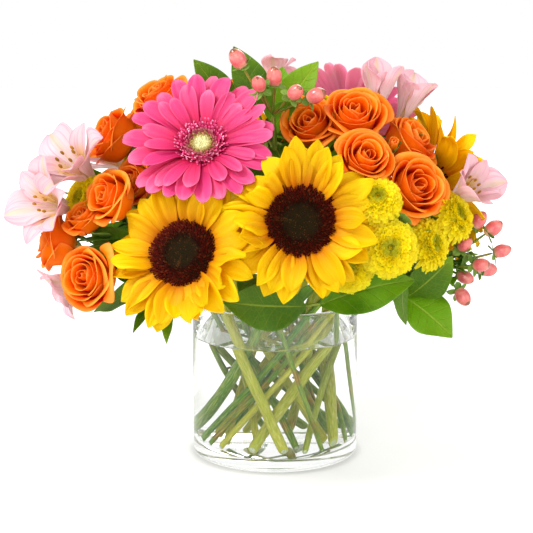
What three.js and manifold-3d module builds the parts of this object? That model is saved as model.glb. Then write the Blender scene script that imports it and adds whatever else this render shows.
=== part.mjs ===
// A round arrangement of cut flowers standing in a glass cylinder of water.
// Millimetres, +Z up, front towards -Y, origin at the middle of the foot of the glass.
// Every plant is a stem that stands on the glass floor, leans on the rim and carries blooms, berries or leaves.
// A direction is a bearing (0 at the front, +90 at the right) and a lift above the horizon, in degrees.
import * as THREE from "three";
import { mergeVertices } from "three/addons/utils/BufferGeometryUtils.js";
import Module from "manifold-3d";

const wasm = await Module();
wasm.setup();

// ---- Driving dimensions ----
const seatGap = 0.3; // left between two pieces that touch
const vase = { radius: 63.5, height: 120, wall: 4, floor: 9, heel: 4, lip: 1.8, sides: 36 };
const waterLevel = 92;
const neckHeight = 112; // where a stem leaves the glass

// The stems lean in two rings. Each ring turns its own way, so that the stems of one ring never meet.
// Three of the outer stems stand close to the glass and cross in front of the others.
const rings = {
  outer: { footRadius: 51, neckRadius: 54.5, twist: 105 },
  crossing: { footRadius: 51, neckRadius: 54.5, twist: -55 },
  steep: { footRadius: 51, neckRadius: 54.5, twist: -40 },
  inner: { footRadius: 35, neckRadius: 30, twist: -112 },
};

const sunflower = {
  discRadius: 26, discHeight: 7, rays: 17, rayWaist: 44, rayTip: 57, cup: 10, calyx: 24, stem: 4,
};
const gerbera = {
  discRadius: 18, discHeight: 6, rays: 18, rayWaist: 42, rayTip: 56, cup: 13, calyx: 16, stem: 3,
};
const rose = { radius: 18, height: 25, stem: 2.6, branch: 1.6, bud: 5.5 };
const mum = { radius: 18, height: 17, stem: 2.4, branch: 1.5 };
const lily = { radius: 17, length: 36, stem: 2.4, branch: 1.5 }; // alstroemeria
const berry = { radius: 5.2, length: 14, stem: 2, branch: 1 };
const leaf = { thickness: 1.2, stem: 1.9, petiole: 1.1 };
const rayThickness = 1.6;

// ---- The plants: where each bloom sits, which way it faces, and where its stem stands ----
const sunflowers = [
  { name: "sunflower_left", at: [-64, -98, 172], facing: [-24, 30], ring: "crossing", neck: -45 },
  { name: "sunflower_centre", at: [17, -100, 195], facing: [3, 12], ring: "outer", neck: -12 },
  { name: "sunflower_right", at: [118, 12, 205], facing: [98, 28], ring: "outer", neck: 82 },
  { name: "sunflower_back", at: [-10, 98, 205], facing: [184, 24], ring: "outer", neck: 158 },
];
const gerberas = [
  { name: "gerbera_front", at: [-52, -66, 244], facing: [-8, 38], ring: "inner", neck: -38, look: "pinkRays" },
  { name: "gerbera_back", at: [58, 52, 252], facing: [150, 44], ring: "inner", neck: 145, look: "paleRays" },
];
const roseSprays = [
  { name: "rose_left", fork: [-92, -42, 165], ring: "outer", neck: -94, blooms: [
    { at: [-132, -80, 152], facing: [-34, 12], size: 1.05 },
    { at: [-160, -42, 171], facing: [-84, 14], size: 1 },
    { at: [-138, -56, 190], facing: [-50, 52], size: 0.72 },
    { at: [-117, -64, 207], facing: [-52, 26], size: 0.95 },
  ] },
  { name: "rose_upper", fork: [-66, -6, 215], ring: "inner", neck: -85, blooms: [
    { at: [-84, -4, 272], facing: [-62, 58], size: 1.05 },
    { at: [-104, 8, 252], facing: [-84, 44], size: 0.8 },
    { at: [-120, -14, 245], facing: [-74, 30], size: 1.02 },
    { at: [-102, -30, 214], facing: [-48, 12], size: 0.8 },
  ] },
  { name: "rose_right", fork: [52, -34, 200], ring: "inner", neck: 58, blooms: [
    { at: [26, -38, 256], facing: [-14, 42], size: 0.98 },
    { at: [57, -44, 262], facing: [6, 52], size: 1.12 },
    { at: [62, -76, 236], facing: [16, 36], size: 0.95 },
    { at: [98, -68, 214], facing: [30, 26], size: 1.15 },
    { at: [98, -28, 242], facing: [70, 44], size: 1.05 },
  ], bud: { at: [84, -54, 243], facing: [20, 50] } },
  { name: "rose_back", fork: [-58, 58, 190], ring: "outer", neck: -166, joined: true, blooms: [
    { at: [-84, 80, 212], facing: [-130, 26], size: 1.05 },
    { at: [-58, 60, 246], facing: [-150, 58], size: 1 },
    { at: [-108, 46, 196], facing: [-108, 18], size: 0.95 },
    { at: [-68, 28, 262], facing: [-110, 64], size: 0.9 },
    { at: [-27, 40, 270], facing: [-170, 74], size: 1 },
  ] },
];
const mumSprays = [
  { name: "mum_right", fork: [66, -46, 160], ring: "outer", neck: 24, blooms: [
    { at: [70, -92, 209], facing: [8, 40], size: 1 },
    { at: [79, -97, 176], facing: [8, 14], size: 1.12 },
    { at: [52, -84, 160], facing: [-10, 0], size: 1 },
    { at: [108, -72, 174], facing: [52, 14], size: 1.05 },
    { at: [127, -56, 192], facing: [56, 26], size: 1.05 },
  ] },
  { name: "mum_left", fork: [-100, -20, 170], ring: "outer", neck: -118, joined: true, blooms: [
    { at: [-130, -38, 189], facing: [-60, 24], size: 0.72 },
    { at: [-100, -8, 228], facing: [-74, 30], size: 0.8 },
  ] },
  { name: "mum_back", fork: [62, 62, 170], ring: "outer", neck: 128, joined: true, blooms: [
    { at: [74, 88, 192], facing: [142, 20], size: 1.1 },
    { at: [98, 62, 186], facing: [118, 16], size: 1.05 },
    { at: [42, 98, 176], facing: [160, 6], size: 1.05 },
    { at: [74, 78, 150], facing: [140, -6], size: 0.9 },
  ] },
  { name: "mum_top", fork: [8, 8, 232], ring: "inner", neck: 120, joined: true, blooms: [
    { at: [-24, 10, 266], facing: [-80, 76], size: 0.9 },
    { at: [8, 26, 270], facing: [180, 78], size: 1 },
    { at: [34, 8, 266], facing: [90, 76], size: 0.9 },
  ] },
];
const lilySprays = [
  { name: "alstroemeria_left", fork: [-92, 2, 175], ring: "inner", neck: -130, blooms: [
    { at: [-159, -44, 198], facing: [-56, 18], size: 1 },
    { at: [-142, -34, 222], facing: [-70, 46], size: 1 },
    { at: [-150, -22, 140], facing: [-76, -34], size: 0.85 },
    { at: [-118, 28, 222], facing: [-106, 36], size: 1 },
  ] },
  { name: "alstroemeria_top", fork: [64, -2, 215], ring: "inner", neck: 96, blooms: [
    { at: [76, -6, 272], facing: [20, 78], size: 0.9 },
    { at: [98, 2, 264], facing: [70, 66], size: 0.9 },
  ] },
  { name: "alstroemeria_right", fork: [92, -16, 172], ring: "outer", neck: 52, blooms: [
    { at: [136, -32, 208], facing: [62, 30], size: 1.05 },
  ] },
  { name: "alstroemeria_back", fork: [18, 62, 215], ring: "inner", neck: 185, blooms: [
    { at: [18, 84, 260], facing: [176, 52], size: 1 },
    { at: [-2, 62, 281], facing: [200, 74], size: 0.95 },
  ] },
];

const berrySprays = [
  { name: "hypericum_top", fork: [-2, -36, 264], ring: "inner", neck: 18, berries: [
    [-27, -52, 305], [-12, -62, 288], [-1, -48, 292], [14, -62, 282], [29, -52, 279],
  ] },
  { name: "hypericum_right", fork: [124, -28, 150], ring: "outer", neck: 38, berries: [
    [151, -28, 185], [163, -22, 178], [139, -44, 170], [168, -34, 163], [151, -48, 155], [160, -18, 146],
    [141, -34, 143], [138, -48, 131],
  ] },
];
// A leaf runs from its base to its tip. Its face is the way the upper side looks, and its droop is how far the
// middle rises over the straight line between the two ends.
const leafSprays = [
  { name: "leaves_top", fork: [-6, -2, 244], ring: "inner", neck: -8, leaves: [
    { base: [-12, -8, 262], tip: [-31, -6, 312], width: 28, face: [24, 10], droop: 3 },
    { base: [2, -8, 258], tip: [32, -10, 301], width: 27, face: [-8, 24], droop: 3 },
    { base: [-30, -14, 262], tip: [-60, -20, 303], width: 24, face: [-10, 30], droop: 3 },
  ] },
  { name: "leaves_front", fork: [17, -58, 126], ring: "steep", neck: 2, leaves: [
    { base: [22, -72, 129], tip: [-38, -80, 134], width: 36, face: [-2, 4], droop: 5 },
    { base: [32, -72, 130], tip: [100, -76, 149], width: 36, face: [12, 26], droop: 7 },
  ] },
  { name: "leaves_right", fork: [84, -40, 134], ring: "steep", neck: 62, leaves: [
    { base: [94, -62, 148], tip: [94, -76, 116], width: 17, face: [60, 20], droop: 3 },
    { base: [98, -50, 132], tip: [128, -62, 164], width: 32, face: [28, 6], droop: 4 },
    { base: [92, -44, 132], tip: [130, -56, 102], width: 40, face: [24, 34], droop: 4 },
  ] },
  { name: "leaves_left", fork: [-78, -44, 132], ring: "outer", neck: -72, leaves: [
    { base: [-84, -52, 130], tip: [-102, -84, 112], width: 10, face: [-30, 30], droop: 3 },
    { base: [-76, -58, 124], tip: [-78, -84, 104], width: 9, face: [-20, 30], droop: 3 },
    { base: [-88, -32, 132], tip: [-138, -14, 112], width: 34, face: [-70, 50], droop: 5 },
  ] },
  { name: "leaves_back", fork: [-12, 60, 129], ring: "outer", neck: 177, leaves: [
    { base: [-2, 74, 130], tip: [60, 90, 118], width: 34, face: [160, 30], droop: 5 },
    { base: [-18, 72, 130], tip: [-62, 94, 112], width: 36, face: [190, 40], droop: 6 },
    { base: [-18, 70, 138], tip: [-34, 112, 150], width: 34, face: [180, 70], droop: 4 },
  ] },
  { name: "leaves_corner", fork: [-80, 44, 140], ring: "outer", neck: -145, leaves: [
    { base: [-90, 48, 138], tip: [-142, 58, 126], width: 36, face: [-115, 50], droop: 6 },
    { base: [-84, 58, 136], tip: [-110, 102, 124], width: 34, face: [-140, 45], droop: 5 },
    { base: [-90, 42, 148], tip: [-140, 34, 164], width: 34, face: [-100, 20], droop: 4 },
  ] },
];

// ---- Directions and places ----
const radians = THREE.MathUtils.degToRad;
const upward = new THREE.Vector3(0, 0, 1);

function direction([bearing, lift]) {
  const level = Math.cos(radians(lift));
  return new THREE.Vector3(
    Math.sin(radians(bearing)) * level,
    -Math.cos(radians(bearing)) * level,
    Math.sin(radians(lift)),
  );
}

function onRing(bearing, radius, height) {
  return direction([bearing, 0]).multiplyScalar(radius).setZ(height);
}

function point([x, y, z]) {
  return new THREE.Vector3(x, y, z);
}

// ---- Solids ----
function solidOf(geometry) {
  const loose = geometry.index ? geometry.toNonIndexed() : geometry.clone();
  const places = new THREE.BufferGeometry().setAttribute("position", loose.getAttribute("position"));
  const merged = mergeVertices(places, 1e-4);
  const vertProperties = merged.attributes.position.array;
  const triVerts = new Uint32Array(merged.index.array);
  const build = () => new wasm.Manifold(new wasm.Mesh({ numProp: 3, vertProperties, triVerts }));
  const made = build();
  if (made.volume() > 0) return made;
  for (let i = 0; i < triVerts.length; i += 3) {
    [triVerts[i + 1], triVerts[i + 2]] = [triVerts[i + 2], triVerts[i + 1]];
  }
  return build();
}

function geometryOf(solid) {
  const mesh = solid.getMesh();
  const position = new Float32Array(mesh.numVert * 3);
  for (let i = 0; i < mesh.numVert; i++) {
    position.set(mesh.vertProperties.subarray(i * mesh.numProp, i * mesh.numProp + 3), i * 3);
  }
  return new THREE.BufferGeometry()
    .setAttribute("position", new THREE.BufferAttribute(position, 3))
    .setIndex(new THREE.BufferAttribute(mesh.triVerts, 1));
}

// A profile of [radius, height] points turned about +Z.
function turned(profile, sides) {
  const points = profile.map(([radius, height]) => new THREE.Vector2(radius, height));
  return solidOf(new THREE.LatheGeometry(points, sides).rotateX(Math.PI / 2));
}

// A course straight from each of its points to the next.
class Course extends THREE.Curve {
  constructor(points) {
    super();
    this.points = points;
  }
  getPoint(share, target = new THREE.Vector3()) {
    const step = Math.min(share, 1 - 1e-9) * (this.points.length - 1);
    const from = Math.floor(step);
    return target.lerpVectors(this.points[from], this.points[from + 1], step - from);
  }
  getPointAt(share, target) {
    return this.getPoint(share, target);
  }
  getTangentAt(share, target) {
    return this.getTangent(share, target);
  }
}

function tube(points, radius, sides = 6) {
  const section = new THREE.Shape();
  for (let i = 0; i < sides; i++) {
    const turn = (i / sides) * 2 * Math.PI;
    const corner = [radius * Math.cos(turn), radius * Math.sin(turn)];
    if (i === 0) section.moveTo(...corner);
    else section.lineTo(...corner);
  }
  section.closePath();
  const extrudePath = new Course(points);
  const steps = points.length - 1;
  return solidOf(new THREE.ExtrudeGeometry(section, { steps, extrudePath, bevelEnabled: false }));
}

// A solid made about the origin and facing +Z, moved so that it faces the given way.
function placed(solid, at, facing) {
  const turn = new THREE.Quaternion().setFromUnitVectors(upward, direction(facing));
  const matrix = new THREE.Matrix4().compose(point(at), turn, new THREE.Vector3(1, 1, 1));
  return solid.transform(matrix.elements);
}

function joined(...solids) {
  return solids.flat().reduce((sum, solid) => sum.add(solid));
}

// Pointed rays about a flat hub, dished so that their height follows the distance from the axis.
function rayRing({ rays, calyx, discRadius, rayWaist, rayTip, cup }, ease) {
  const corner = (radius, turn) => new THREE.Vector2(radius * Math.cos(turn), radius * Math.sin(turn));
  const half = Math.PI / rays;
  const root = discRadius + 1.5;
  const spread = half * 0.82 + ease / rayWaist;
  const middles = Array.from({ length: rays }, (_, i) => i * 2 * half);
  const outline = new THREE.Shape(middles.flatMap((middle) => [
    corner(root + ease * 3, middle - half),
    corner(rayWaist, middle - spread),
    corner(rayTip + ease * 3, middle),
    corner(rayWaist, middle + spread),
  ]));
  outline.holes.push(new THREE.Path(middles.map((middle) => corner(calyx - 2.5 - ease, middle + half))));
  const flat = new THREE.ExtrudeGeometry(outline, { depth: rayThickness + 2 * ease, bevelEnabled: false });
  const places = flat.getAttribute("position");
  for (let i = 0; i < places.count; i++) {
    const reach = Math.max(0, Math.hypot(places.getX(i), places.getY(i)) - root);
    places.setZ(i, places.getZ(i) - rayThickness - ease + reach * Math.tan(radians(cup)));
  }
  return solidOf(flat);
}

// The blade alone, and the point in it where its stalk ends.
function leafBlade({ base, tip, width, face, droop }, ease) {
  const from = point(base);
  const along = point(tip).sub(from);
  const length = along.length();
  along.normalize();
  const across = new THREE.Vector3().crossVectors(along, direction(face)).normalize();
  const outward = new THREE.Vector3().crossVectors(across, along);
  const edge = [[0.02, 0.06], [0.14, 0.34], [0.36, 0.5], [0.66, 0.38], [0.88, 0.15]];
  const right = edge.map(([share, half]) => new THREE.Vector2(share * length, -half * width - ease));
  const left = edge.map(([share, half]) => new THREE.Vector2(share * length, half * width + ease)).reverse();
  const ends = [new THREE.Vector2(-ease, 0), new THREE.Vector2(length + ease * 3, 0)];
  const outline = new THREE.Shape([ends[0], ...right, ends[1], ...left]);
  const flat = new THREE.ExtrudeGeometry(outline, { depth: leaf.thickness + 2 * ease, bevelEnabled: false });
  const places = flat.getAttribute("position");
  for (let i = 0; i < places.count; i++) {
    const share = places.getX(i) / length;
    places.setZ(i, places.getZ(i) - ease + 4 * droop * share * (1 - share));
  }
  flat.applyMatrix4(new THREE.Matrix4().makeBasis(along, across, outward).setPosition(from));
  const joint = from.clone().addScaledVector(along, length * 0.1);
  joint.addScaledVector(outward, leaf.thickness / 2 + droop * 0.36);
  return { blade: solidOf(flat), joint };
}

// ---- Stems ----
// The stem stands on the glass floor and leans straight to the rim, and from there it bends to its end.
function stemCourse({ ring, neck }, end, endDirection, radius) {
  const { footRadius, neckRadius, twist } = rings[ring];
  const foot = onRing(neck - twist, footRadius, vase.floor - 1);
  const top = onRing(neck, neckRadius - (ring === "inner" ? 0 : radius * 1.25), neckHeight);
  const lean = top.clone().sub(foot).normalize();
  const reach = top.distanceTo(end);
  const bend = new THREE.CubicBezierCurve3(
    top,
    top.clone().addScaledVector(lean, reach * 0.28),
    end.clone().addScaledVector(endDirection, -reach * 0.36),
    end,
  );
  return [foot, ...bend.getPoints(5)];
}

function branchCourse(fork, end, endDirection) {
  const reach = fork.distanceTo(end);
  const bend = new THREE.CubicBezierCurve3(
    fork,
    fork.clone().addScaledVector(upward, reach * 0.15).lerp(end, 0.2),
    end.clone().addScaledVector(endDirection, -reach * 0.4),
    end,
  );
  return bend.getPoints(2);
}

function risingTo(fork, { ring, neck }) {
  return fork.clone().sub(onRing(neck, rings[ring].neckRadius, neckHeight)).normalize();
}

// A piece and its room: the same piece, thicker by the gap that other pieces leave round it.
function withRoom(make) {
  return { solid: make(0), room: make(seatGap * 1.5) };
}

// ---- Daisy-shaped flowers: a disc on a ring of rays, on a green cup at the stem's end ----
function daisy(plant, kind, looks) {
  const { name, at, facing } = plant;
  const outward = direction(facing);
  const cupTop = -rayThickness - seatGap;
  const cupFoot = cupTop - kind.calyx * 0.55;
  const course = stemCourse(plant, point(at).addScaledVector(outward, cupFoot), outward, kind.stem);
  const stem = (ease) => joined(tube(course, kind.stem + ease), placed(turned([
    [0, cupFoot - 2 - ease],
    [kind.stem * 0.9 + ease, cupFoot - 2 - ease],
    [kind.stem * 1.3 + ease, cupFoot],
    [kind.calyx + ease, cupTop],
    [0, cupTop],
  ], 12), at, facing));
  const disc = (ease) => placed(turned([
    [0, seatGap * 3.3 - ease],
    [kind.discRadius + ease, seatGap * 3.3 - ease],
    [kind.discRadius * 0.7 + ease, kind.discHeight + ease],
    [0, kind.discHeight * 0.8 + ease],
  ], 16), at, facing);
  const rays = (ease) => placed(rayRing(kind, ease), at, facing);
  const standing = { course, radius: kind.stem, sides: 6 };
  return [
    { name: name + "_stem", ...withRoom(stem), look: "stem", standing },
    { name: name + "_disc", ...withRoom(disc), look: looks.disc },
    { name: name + "_petals", ...withRoom(rays), look: looks.rays },
  ];
}

// ---- Blooms of the sprays, made about their own middle ----
function roseBloom(size, ease) {
  const r = rose.radius * size + ease;
  const h = rose.height * size + 2 * ease;
  return turned([
    [0, -h / 2],
    [r * 0.3, -h / 2],
    [r * 0.9, -h * 0.16],
    [r, h * 0.24],
    [r * 0.6, h / 2],
    [0, h * 0.4],
  ], 9);
}

function mumBloom(size, ease) {
  const r = mum.radius * size + ease;
  const h = mum.height * size + 2 * ease;
  return turned([
    [0, -h / 2],
    [r * 0.45, -h / 2],
    [r * 0.96, -h * 0.1],
    [r * 0.9, h * 0.26],
    [r * 0.5, h / 2],
    [0, h * 0.42],
  ], 9);
}

function lilyBloom(size, ease) {
  const r = lily.radius * size + ease;
  const l = lily.length * size + 2 * ease;
  return turned([
    [0, -l / 2],
    [r * 0.18, -l / 2],
    [r * 0.5, -l * 0.05],
    [r, l * 0.4],
    [r * 0.8, l / 2],
    [0, l * 0.1],
  ], 8);
}

function berrySolid(ease) {
  const half = berry.length / 2 + ease;
  const r = berry.radius + ease;
  return turned([[0, -half], [r * 0.9, -half * 0.5], [r, half * 0.2], [0, half]], 6);
}

const cupDepth = 5;

function budCup(mouth, ease) {
  return turned([[0, -cupDepth - ease], [1.4 + ease, -cupDepth - ease], [mouth + ease, 0], [0, 0]], 6);
}

function closedBud(ease) {
  const r = rose.bud + ease;
  return turned([[0, -r * 1.6], [r * 0.5, -r * 1.5], [r, -r * 0.4], [r * 0.7, r * 0.9], [0, r * 1.9]], 7);
}

// A spray is one stem to the fork, then a branch to each bloom. A separate bloom rests on its branch's cup.
function spray(plant, kind, bloomOf, height, look) {
  const { name, blooms, bud } = plant;
  const fork = point(plant.fork);
  const rising = risingTo(fork, plant);
  const course = stemCourse(plant, fork.clone().addScaledVector(rising, 1), rising, kind.stem);
  const seats = blooms.map(({ at, facing, size }) => {
    const outward = direction(facing);
    const sink = plant.joined ? -0.6 : seatGap;
    const seat = point(at).addScaledVector(outward, -(height / 2) * size - sink);
    const end = seat.clone().addScaledVector(outward, -cupDepth * 0.7);
    return { seat: seat.toArray(), facing, mouth: 4.5 * size, branch: branchCourse(fork, end, outward) };
  });
  const stem = (ease) => {
    const pieces = [tube(course, kind.stem + ease, 5)];
    for (const { seat, facing, mouth, branch } of seats) {
      pieces.push(tube(branch, kind.branch + ease, 4), placed(budCup(mouth, ease), seat, facing));
    }
    if (bud) {
      const outward = direction(bud.facing);
      const branch = branchCourse(fork, point(bud.at).addScaledVector(outward, -8), outward);
      pieces.push(tube(branch, kind.branch + ease, 4), placed(closedBud(ease), bud.at, bud.facing));
    }
    return joined(pieces);
  };
  const heads = (ease) => blooms.map(({ at, facing, size }) => placed(bloomOf(size, ease), at, facing));
  const standing = { course, radius: kind.stem, sides: 5 };
  if (plant.joined) return [{ name, ...withRoom((ease) => joined(stem(ease), heads(ease))), look, standing }];
  return [
    { name: name + "_stem", ...withRoom(stem), look: "stem", standing },
    ...blooms.map((_, i) => ({ name: name + "_" + (i + 1), ...withRoom((ease) => heads(ease)[i]), look })),
  ];
}

function berrySpray(plant) {
  const fork = point(plant.fork);
  const rising = risingTo(fork, plant);
  const course = stemCourse(plant, fork.clone().addScaledVector(rising, 1), rising, berry.stem);
  const make = (ease) => joined(tube(course, berry.stem + ease, 5), plant.berries.flatMap((at) => {
    const outward = point(at).sub(fork).normalize();
    const turn = new THREE.Quaternion().setFromUnitVectors(upward, outward);
    const matrix = new THREE.Matrix4().compose(point(at), turn, new THREE.Vector3(1, 1, 1));
    const end = point(at).addScaledVector(outward, -berry.length * 0.4);
    return [berrySolid(ease).transform(matrix.elements), tube([fork, end], berry.branch + ease, 4)];
  }));
  const standing = { course, radius: berry.stem, sides: 5 };
  return [{ name: plant.name, ...withRoom(make), look: "berry", standing }];
}

function leafSpray(plant) {
  const fork = point(plant.fork);
  const rising = risingTo(fork, plant);
  const course = stemCourse(plant, fork.clone().addScaledVector(rising, 1), rising, leaf.stem);
  const make = (ease) => joined(tube(course, leaf.stem + ease, 5), plant.leaves.flatMap((one) => {
    const { blade, joint } = leafBlade(one, ease);
    return [blade, tube([fork, joint], leaf.petiole + ease, 4)];
  }));
  const standing = { course, radius: leaf.stem, sides: 5 };
  return [{ name: plant.name, ...withRoom(make), look: "leaf", standing }];
}

// ---- Glass and water ----
function vaseSolid(ease) {
  const { radius, height, wall, floor, heel, lip, sides } = vase;
  const inner = radius - wall - ease;
  return turned([
    [0, 0],
    [radius - heel, 0],
    [radius - heel * 0.3, heel * 0.3],
    [radius + ease, heel],
    [radius + ease, height - lip],
    [radius - wall / 2, height + ease],
    [inner, height - lip],
    [inner, floor + 3],
    [inner - 3, floor + ease],
    [0, floor + ease],
  ], sides);
}

// The water fills the glass round the straight lower lengths of the stems.
function waterSolid(standing) {
  const inner = vase.radius - vase.wall - seatGap;
  const bottom = vase.floor + seatGap;
  const body = turned([
    [0, bottom],
    [inner - 3, bottom],
    [inner, bottom + 3],
    [inner, waterLevel],
    [0, waterLevel],
  ], vase.sides);
  return standing.reduce((left, { course, radius, sides }) => {
    const below = course[0].clone().lerp(course[1], -0.1);
    return left.subtract(tube([below, course[1]], radius + seatGap * 1.5, sides));
  }, body);
}

// ---- Everything in its place ----
const looks = {
  glass: { color: 0xe8f0ee, roughness: 0.05, metalness: 0, transparent: true, opacity: 0.35 },
  water: { color: 0xd8e8e6, roughness: 0.02, metalness: 0, transparent: true, opacity: 0.35 },
  stem: { color: 0x6f9440, roughness: 0.6, metalness: 0 },
  leaf: { color: 0x3f6f1c, roughness: 0.5, metalness: 0 },
  sunflowerRays: { color: 0xf6c400, roughness: 0.6, metalness: 0 },
  sunflowerDisc: { color: 0x2a1208, roughness: 0.9, metalness: 0 },
  pinkRays: { color: 0xee3f86, roughness: 0.6, metalness: 0 },
  gerberaDisc: { color: 0xb02050, roughness: 0.8, metalness: 0 },
  paleRays: { color: 0xee82a8, roughness: 0.6, metalness: 0 },
  rose: { color: 0xf4691c, roughness: 0.6, metalness: 0 },
  mum: { color: 0xe9d80a, roughness: 0.7, metalness: 0 },
  lily: { color: 0xf0cdd2, roughness: 0.6, metalness: 0 },
  berry: { color: 0xe8877c, roughness: 0.35, metalness: 0 },
};

function largest(solid) {
  return solid.decompose().reduce((best, piece) => (piece.volume() > best.volume() ? piece : best));
}

// Petals and leaves give way to what lies against them: each piece is cut clear of those listed before it.
function givingWay(parts) {
  const settled = [];
  for (const part of parts) {
    let solid = part.solid;
    for (const other of settled) {
      if (solid.minGap(other.solid, seatGap) >= seatGap * 0.7) continue;
      solid = largest(solid.subtract(other.room));
    }
    settled.push({ ...part, solid: largest(solid.simplify(0.05)) });
  }
  return settled;
}

const plants = [
  ...sunflowers.flatMap((plant) => daisy(plant, sunflower, { disc: "sunflowerDisc", rays: "sunflowerRays" })),
  ...gerberas.flatMap((plant) => daisy(plant, gerbera, { disc: "gerberaDisc", rays: plant.look })),
  ...roseSprays.flatMap((plant) => spray(plant, rose, roseBloom, rose.height, "rose")),
  ...mumSprays.flatMap((plant) => spray(plant, mum, mumBloom, mum.height, "mum")),
  ...lilySprays.flatMap((plant) => spray({ ...plant, joined: true }, lily, lilyBloom, lily.length, "lily")),
  ...berrySprays.flatMap(berrySpray),
  ...leafSprays.flatMap(leafSpray),
];
const order = ["stem", "Disc", "rose", "mum", "berry", "lily", "Rays", "leaf"];
const rank = ({ look }) => order.findIndex((word) => look.endsWith(word));
plants.sort((a, b) => rank(a) - rank(b));

const glass = { name: "vase", ...withRoom(vaseSolid), look: "glass" };
const stems = plants.flatMap(({ standing }) => standing ?? []);
const parts = [...givingWay([glass, ...plants]), { name: "water", solid: waterSolid(stems), look: "water" }];

const arrangement = new THREE.Group();
for (const { name, solid, look } of parts) {
  const mesh = new THREE.Mesh(geometryOf(solid), new THREE.MeshStandardMaterial(looks[look]));
  mesh.name = name;
  arrangement.add(mesh);
}

export default arrangement;
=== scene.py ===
# Cut flowers in a glass cylinder of water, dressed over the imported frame. Shapes are worked in millimetres.
import random
from math import atan2, cos, degrees, pi, radians, sin, sqrt, tau

import bmesh
import bpy
from mathutils import Matrix, Vector


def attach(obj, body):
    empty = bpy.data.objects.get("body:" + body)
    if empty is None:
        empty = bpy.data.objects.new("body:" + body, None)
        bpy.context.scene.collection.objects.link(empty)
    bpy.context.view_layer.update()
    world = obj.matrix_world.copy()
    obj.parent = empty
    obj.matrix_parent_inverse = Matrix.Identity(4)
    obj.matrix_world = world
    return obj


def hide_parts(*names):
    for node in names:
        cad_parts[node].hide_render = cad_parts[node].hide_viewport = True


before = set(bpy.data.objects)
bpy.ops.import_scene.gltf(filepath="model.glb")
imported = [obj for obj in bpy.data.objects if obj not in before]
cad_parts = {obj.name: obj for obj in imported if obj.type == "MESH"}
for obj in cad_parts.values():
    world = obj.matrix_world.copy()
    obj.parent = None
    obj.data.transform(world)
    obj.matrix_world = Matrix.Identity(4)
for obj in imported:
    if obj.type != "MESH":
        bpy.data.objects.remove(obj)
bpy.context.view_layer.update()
mm = 0.001
golden = radians(137.508)
upward = Vector((0, 0, 1))

# Camera, light and floor
studio = {
    "eye": (-0.0065, -1.150, 0.360), "down": 10.6, "lens": 103.3,
    "floorSize": 8.0, "floorColour": "C8C8C6", "floorGlow": 0.46, "ambient": 0.55, "seen": 1.0,
    "bounces": 32,
    # name, place, size, watts
    "lamps": [
        ("keyLight", (-1.6, -0.7, 2.0), 0.7, 53),
        ("frontLight", (-0.4, -2.2, 1.1), 1.6, 22),
        ("fillLight", (1.6, -1.0, 0.9), 1.6, 13),
        ("rimLight", (0.6, 1.6, 1.6), 1.2, 20),
    ],
}


def tint(code):     # a screen colour code as linear red, green, blue
    parts = [int(code[i:i + 2], 16) / 255 for i in (0, 2, 4)]
    return tuple(p / 12.92 if p < 0.04045 else ((p + 0.055) / 1.055) ** 2.4 for p in parts)


def studioWorld():      # a white room: soft light on the flowers, full white behind and through the glass
    world = bpy.data.worlds.new("studioWhite")
    world.use_nodes = True
    nodes, links = world.node_tree.nodes, world.node_tree.links
    path = nodes.new("ShaderNodeLightPath")
    direct = nodes.new("ShaderNodeMath")
    direct.operation = "MAXIMUM"
    links.new(path.outputs["Is Camera Ray"], direct.inputs[0])
    links.new(path.outputs["Is Transmission Ray"], direct.inputs[1])
    level = nodes.new("ShaderNodeMapRange")
    level.inputs["To Min"].default_value = studio["ambient"]
    level.inputs["To Max"].default_value = studio["seen"]
    links.new(direct.outputs[0], level.inputs["Value"])
    links.new(level.outputs[0], nodes["Background"].inputs["Strength"])
    nodes["Background"].inputs["Color"].default_value = (1, 1, 1, 1)
    return world


def buildStudio():
    scene = bpy.context.scene
    eye = bpy.data.objects.new("camera", bpy.data.cameras.new("camera"))
    eye.location = studio["eye"]
    eye.rotation_euler = (radians(90 - studio["down"]), 0, 0)
    eye.data.lens = studio["lens"]
    eye.data.clip_start = 0.05
    scene.collection.objects.link(eye)
    scene.camera = eye
    scene.view_settings.view_transform = "Standard"
    for name, place, size, watts in studio["lamps"]:
        lamp = bpy.data.objects.new(name, bpy.data.lights.new(name, "AREA"))
        lamp.data.shape = "SQUARE"
        lamp.data.size = size
        lamp.data.energy = watts
        lamp.location = place
        lamp.rotation_euler = (Vector((0, 0, 0.18)) - Vector(place)).to_track_quat("-Z", "Y").to_euler()
        scene.collection.objects.link(lamp)
    scene.world = studioWorld()
    # light crosses many walls of glass and water before it leaves the vase
    cycles = scene.cycles
    cycles.max_bounces = cycles.glossy_bounces = studio["bounces"]
    cycles.transmission_bounces = cycles.transparent_max_bounces = studio["bounces"]


buildStudio()
print("studio: camera and", len(studio["lamps"]), "lamps")


# Finishes: a socket that can be calculated with, and a material that adds nodes
class Wire:
    def __init__(self, finish, socket):
        self.finish = finish
        self.socket = socket

    def maths(self, operation, *values):
        return self.finish.add("Math", {"operation": operation}, dict(enumerate(values)))

    def __add__(self, other):
        return self.maths("ADD", self, other)

    def __radd__(self, other):
        return self.maths("ADD", other, self)

    def __sub__(self, other):
        return self.maths("SUBTRACT", self, other)

    def __rsub__(self, other):
        return self.maths("SUBTRACT", other, self)

    def __mul__(self, other):
        return self.maths("MULTIPLY", self, other)

    def __pow__(self, other):
        return self.maths("POWER", self, other)

    def __abs__(self):
        return self.maths("ABSOLUTE", self)

    def within(self, low, high):    # 0 below low, 1 above high, smooth between
        settings = {"interpolation_type": "SMOOTHSTEP"}
        return self.finish.add("MapRange", settings, {"Value": self, "From Min": low, "From Max": high})


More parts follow.
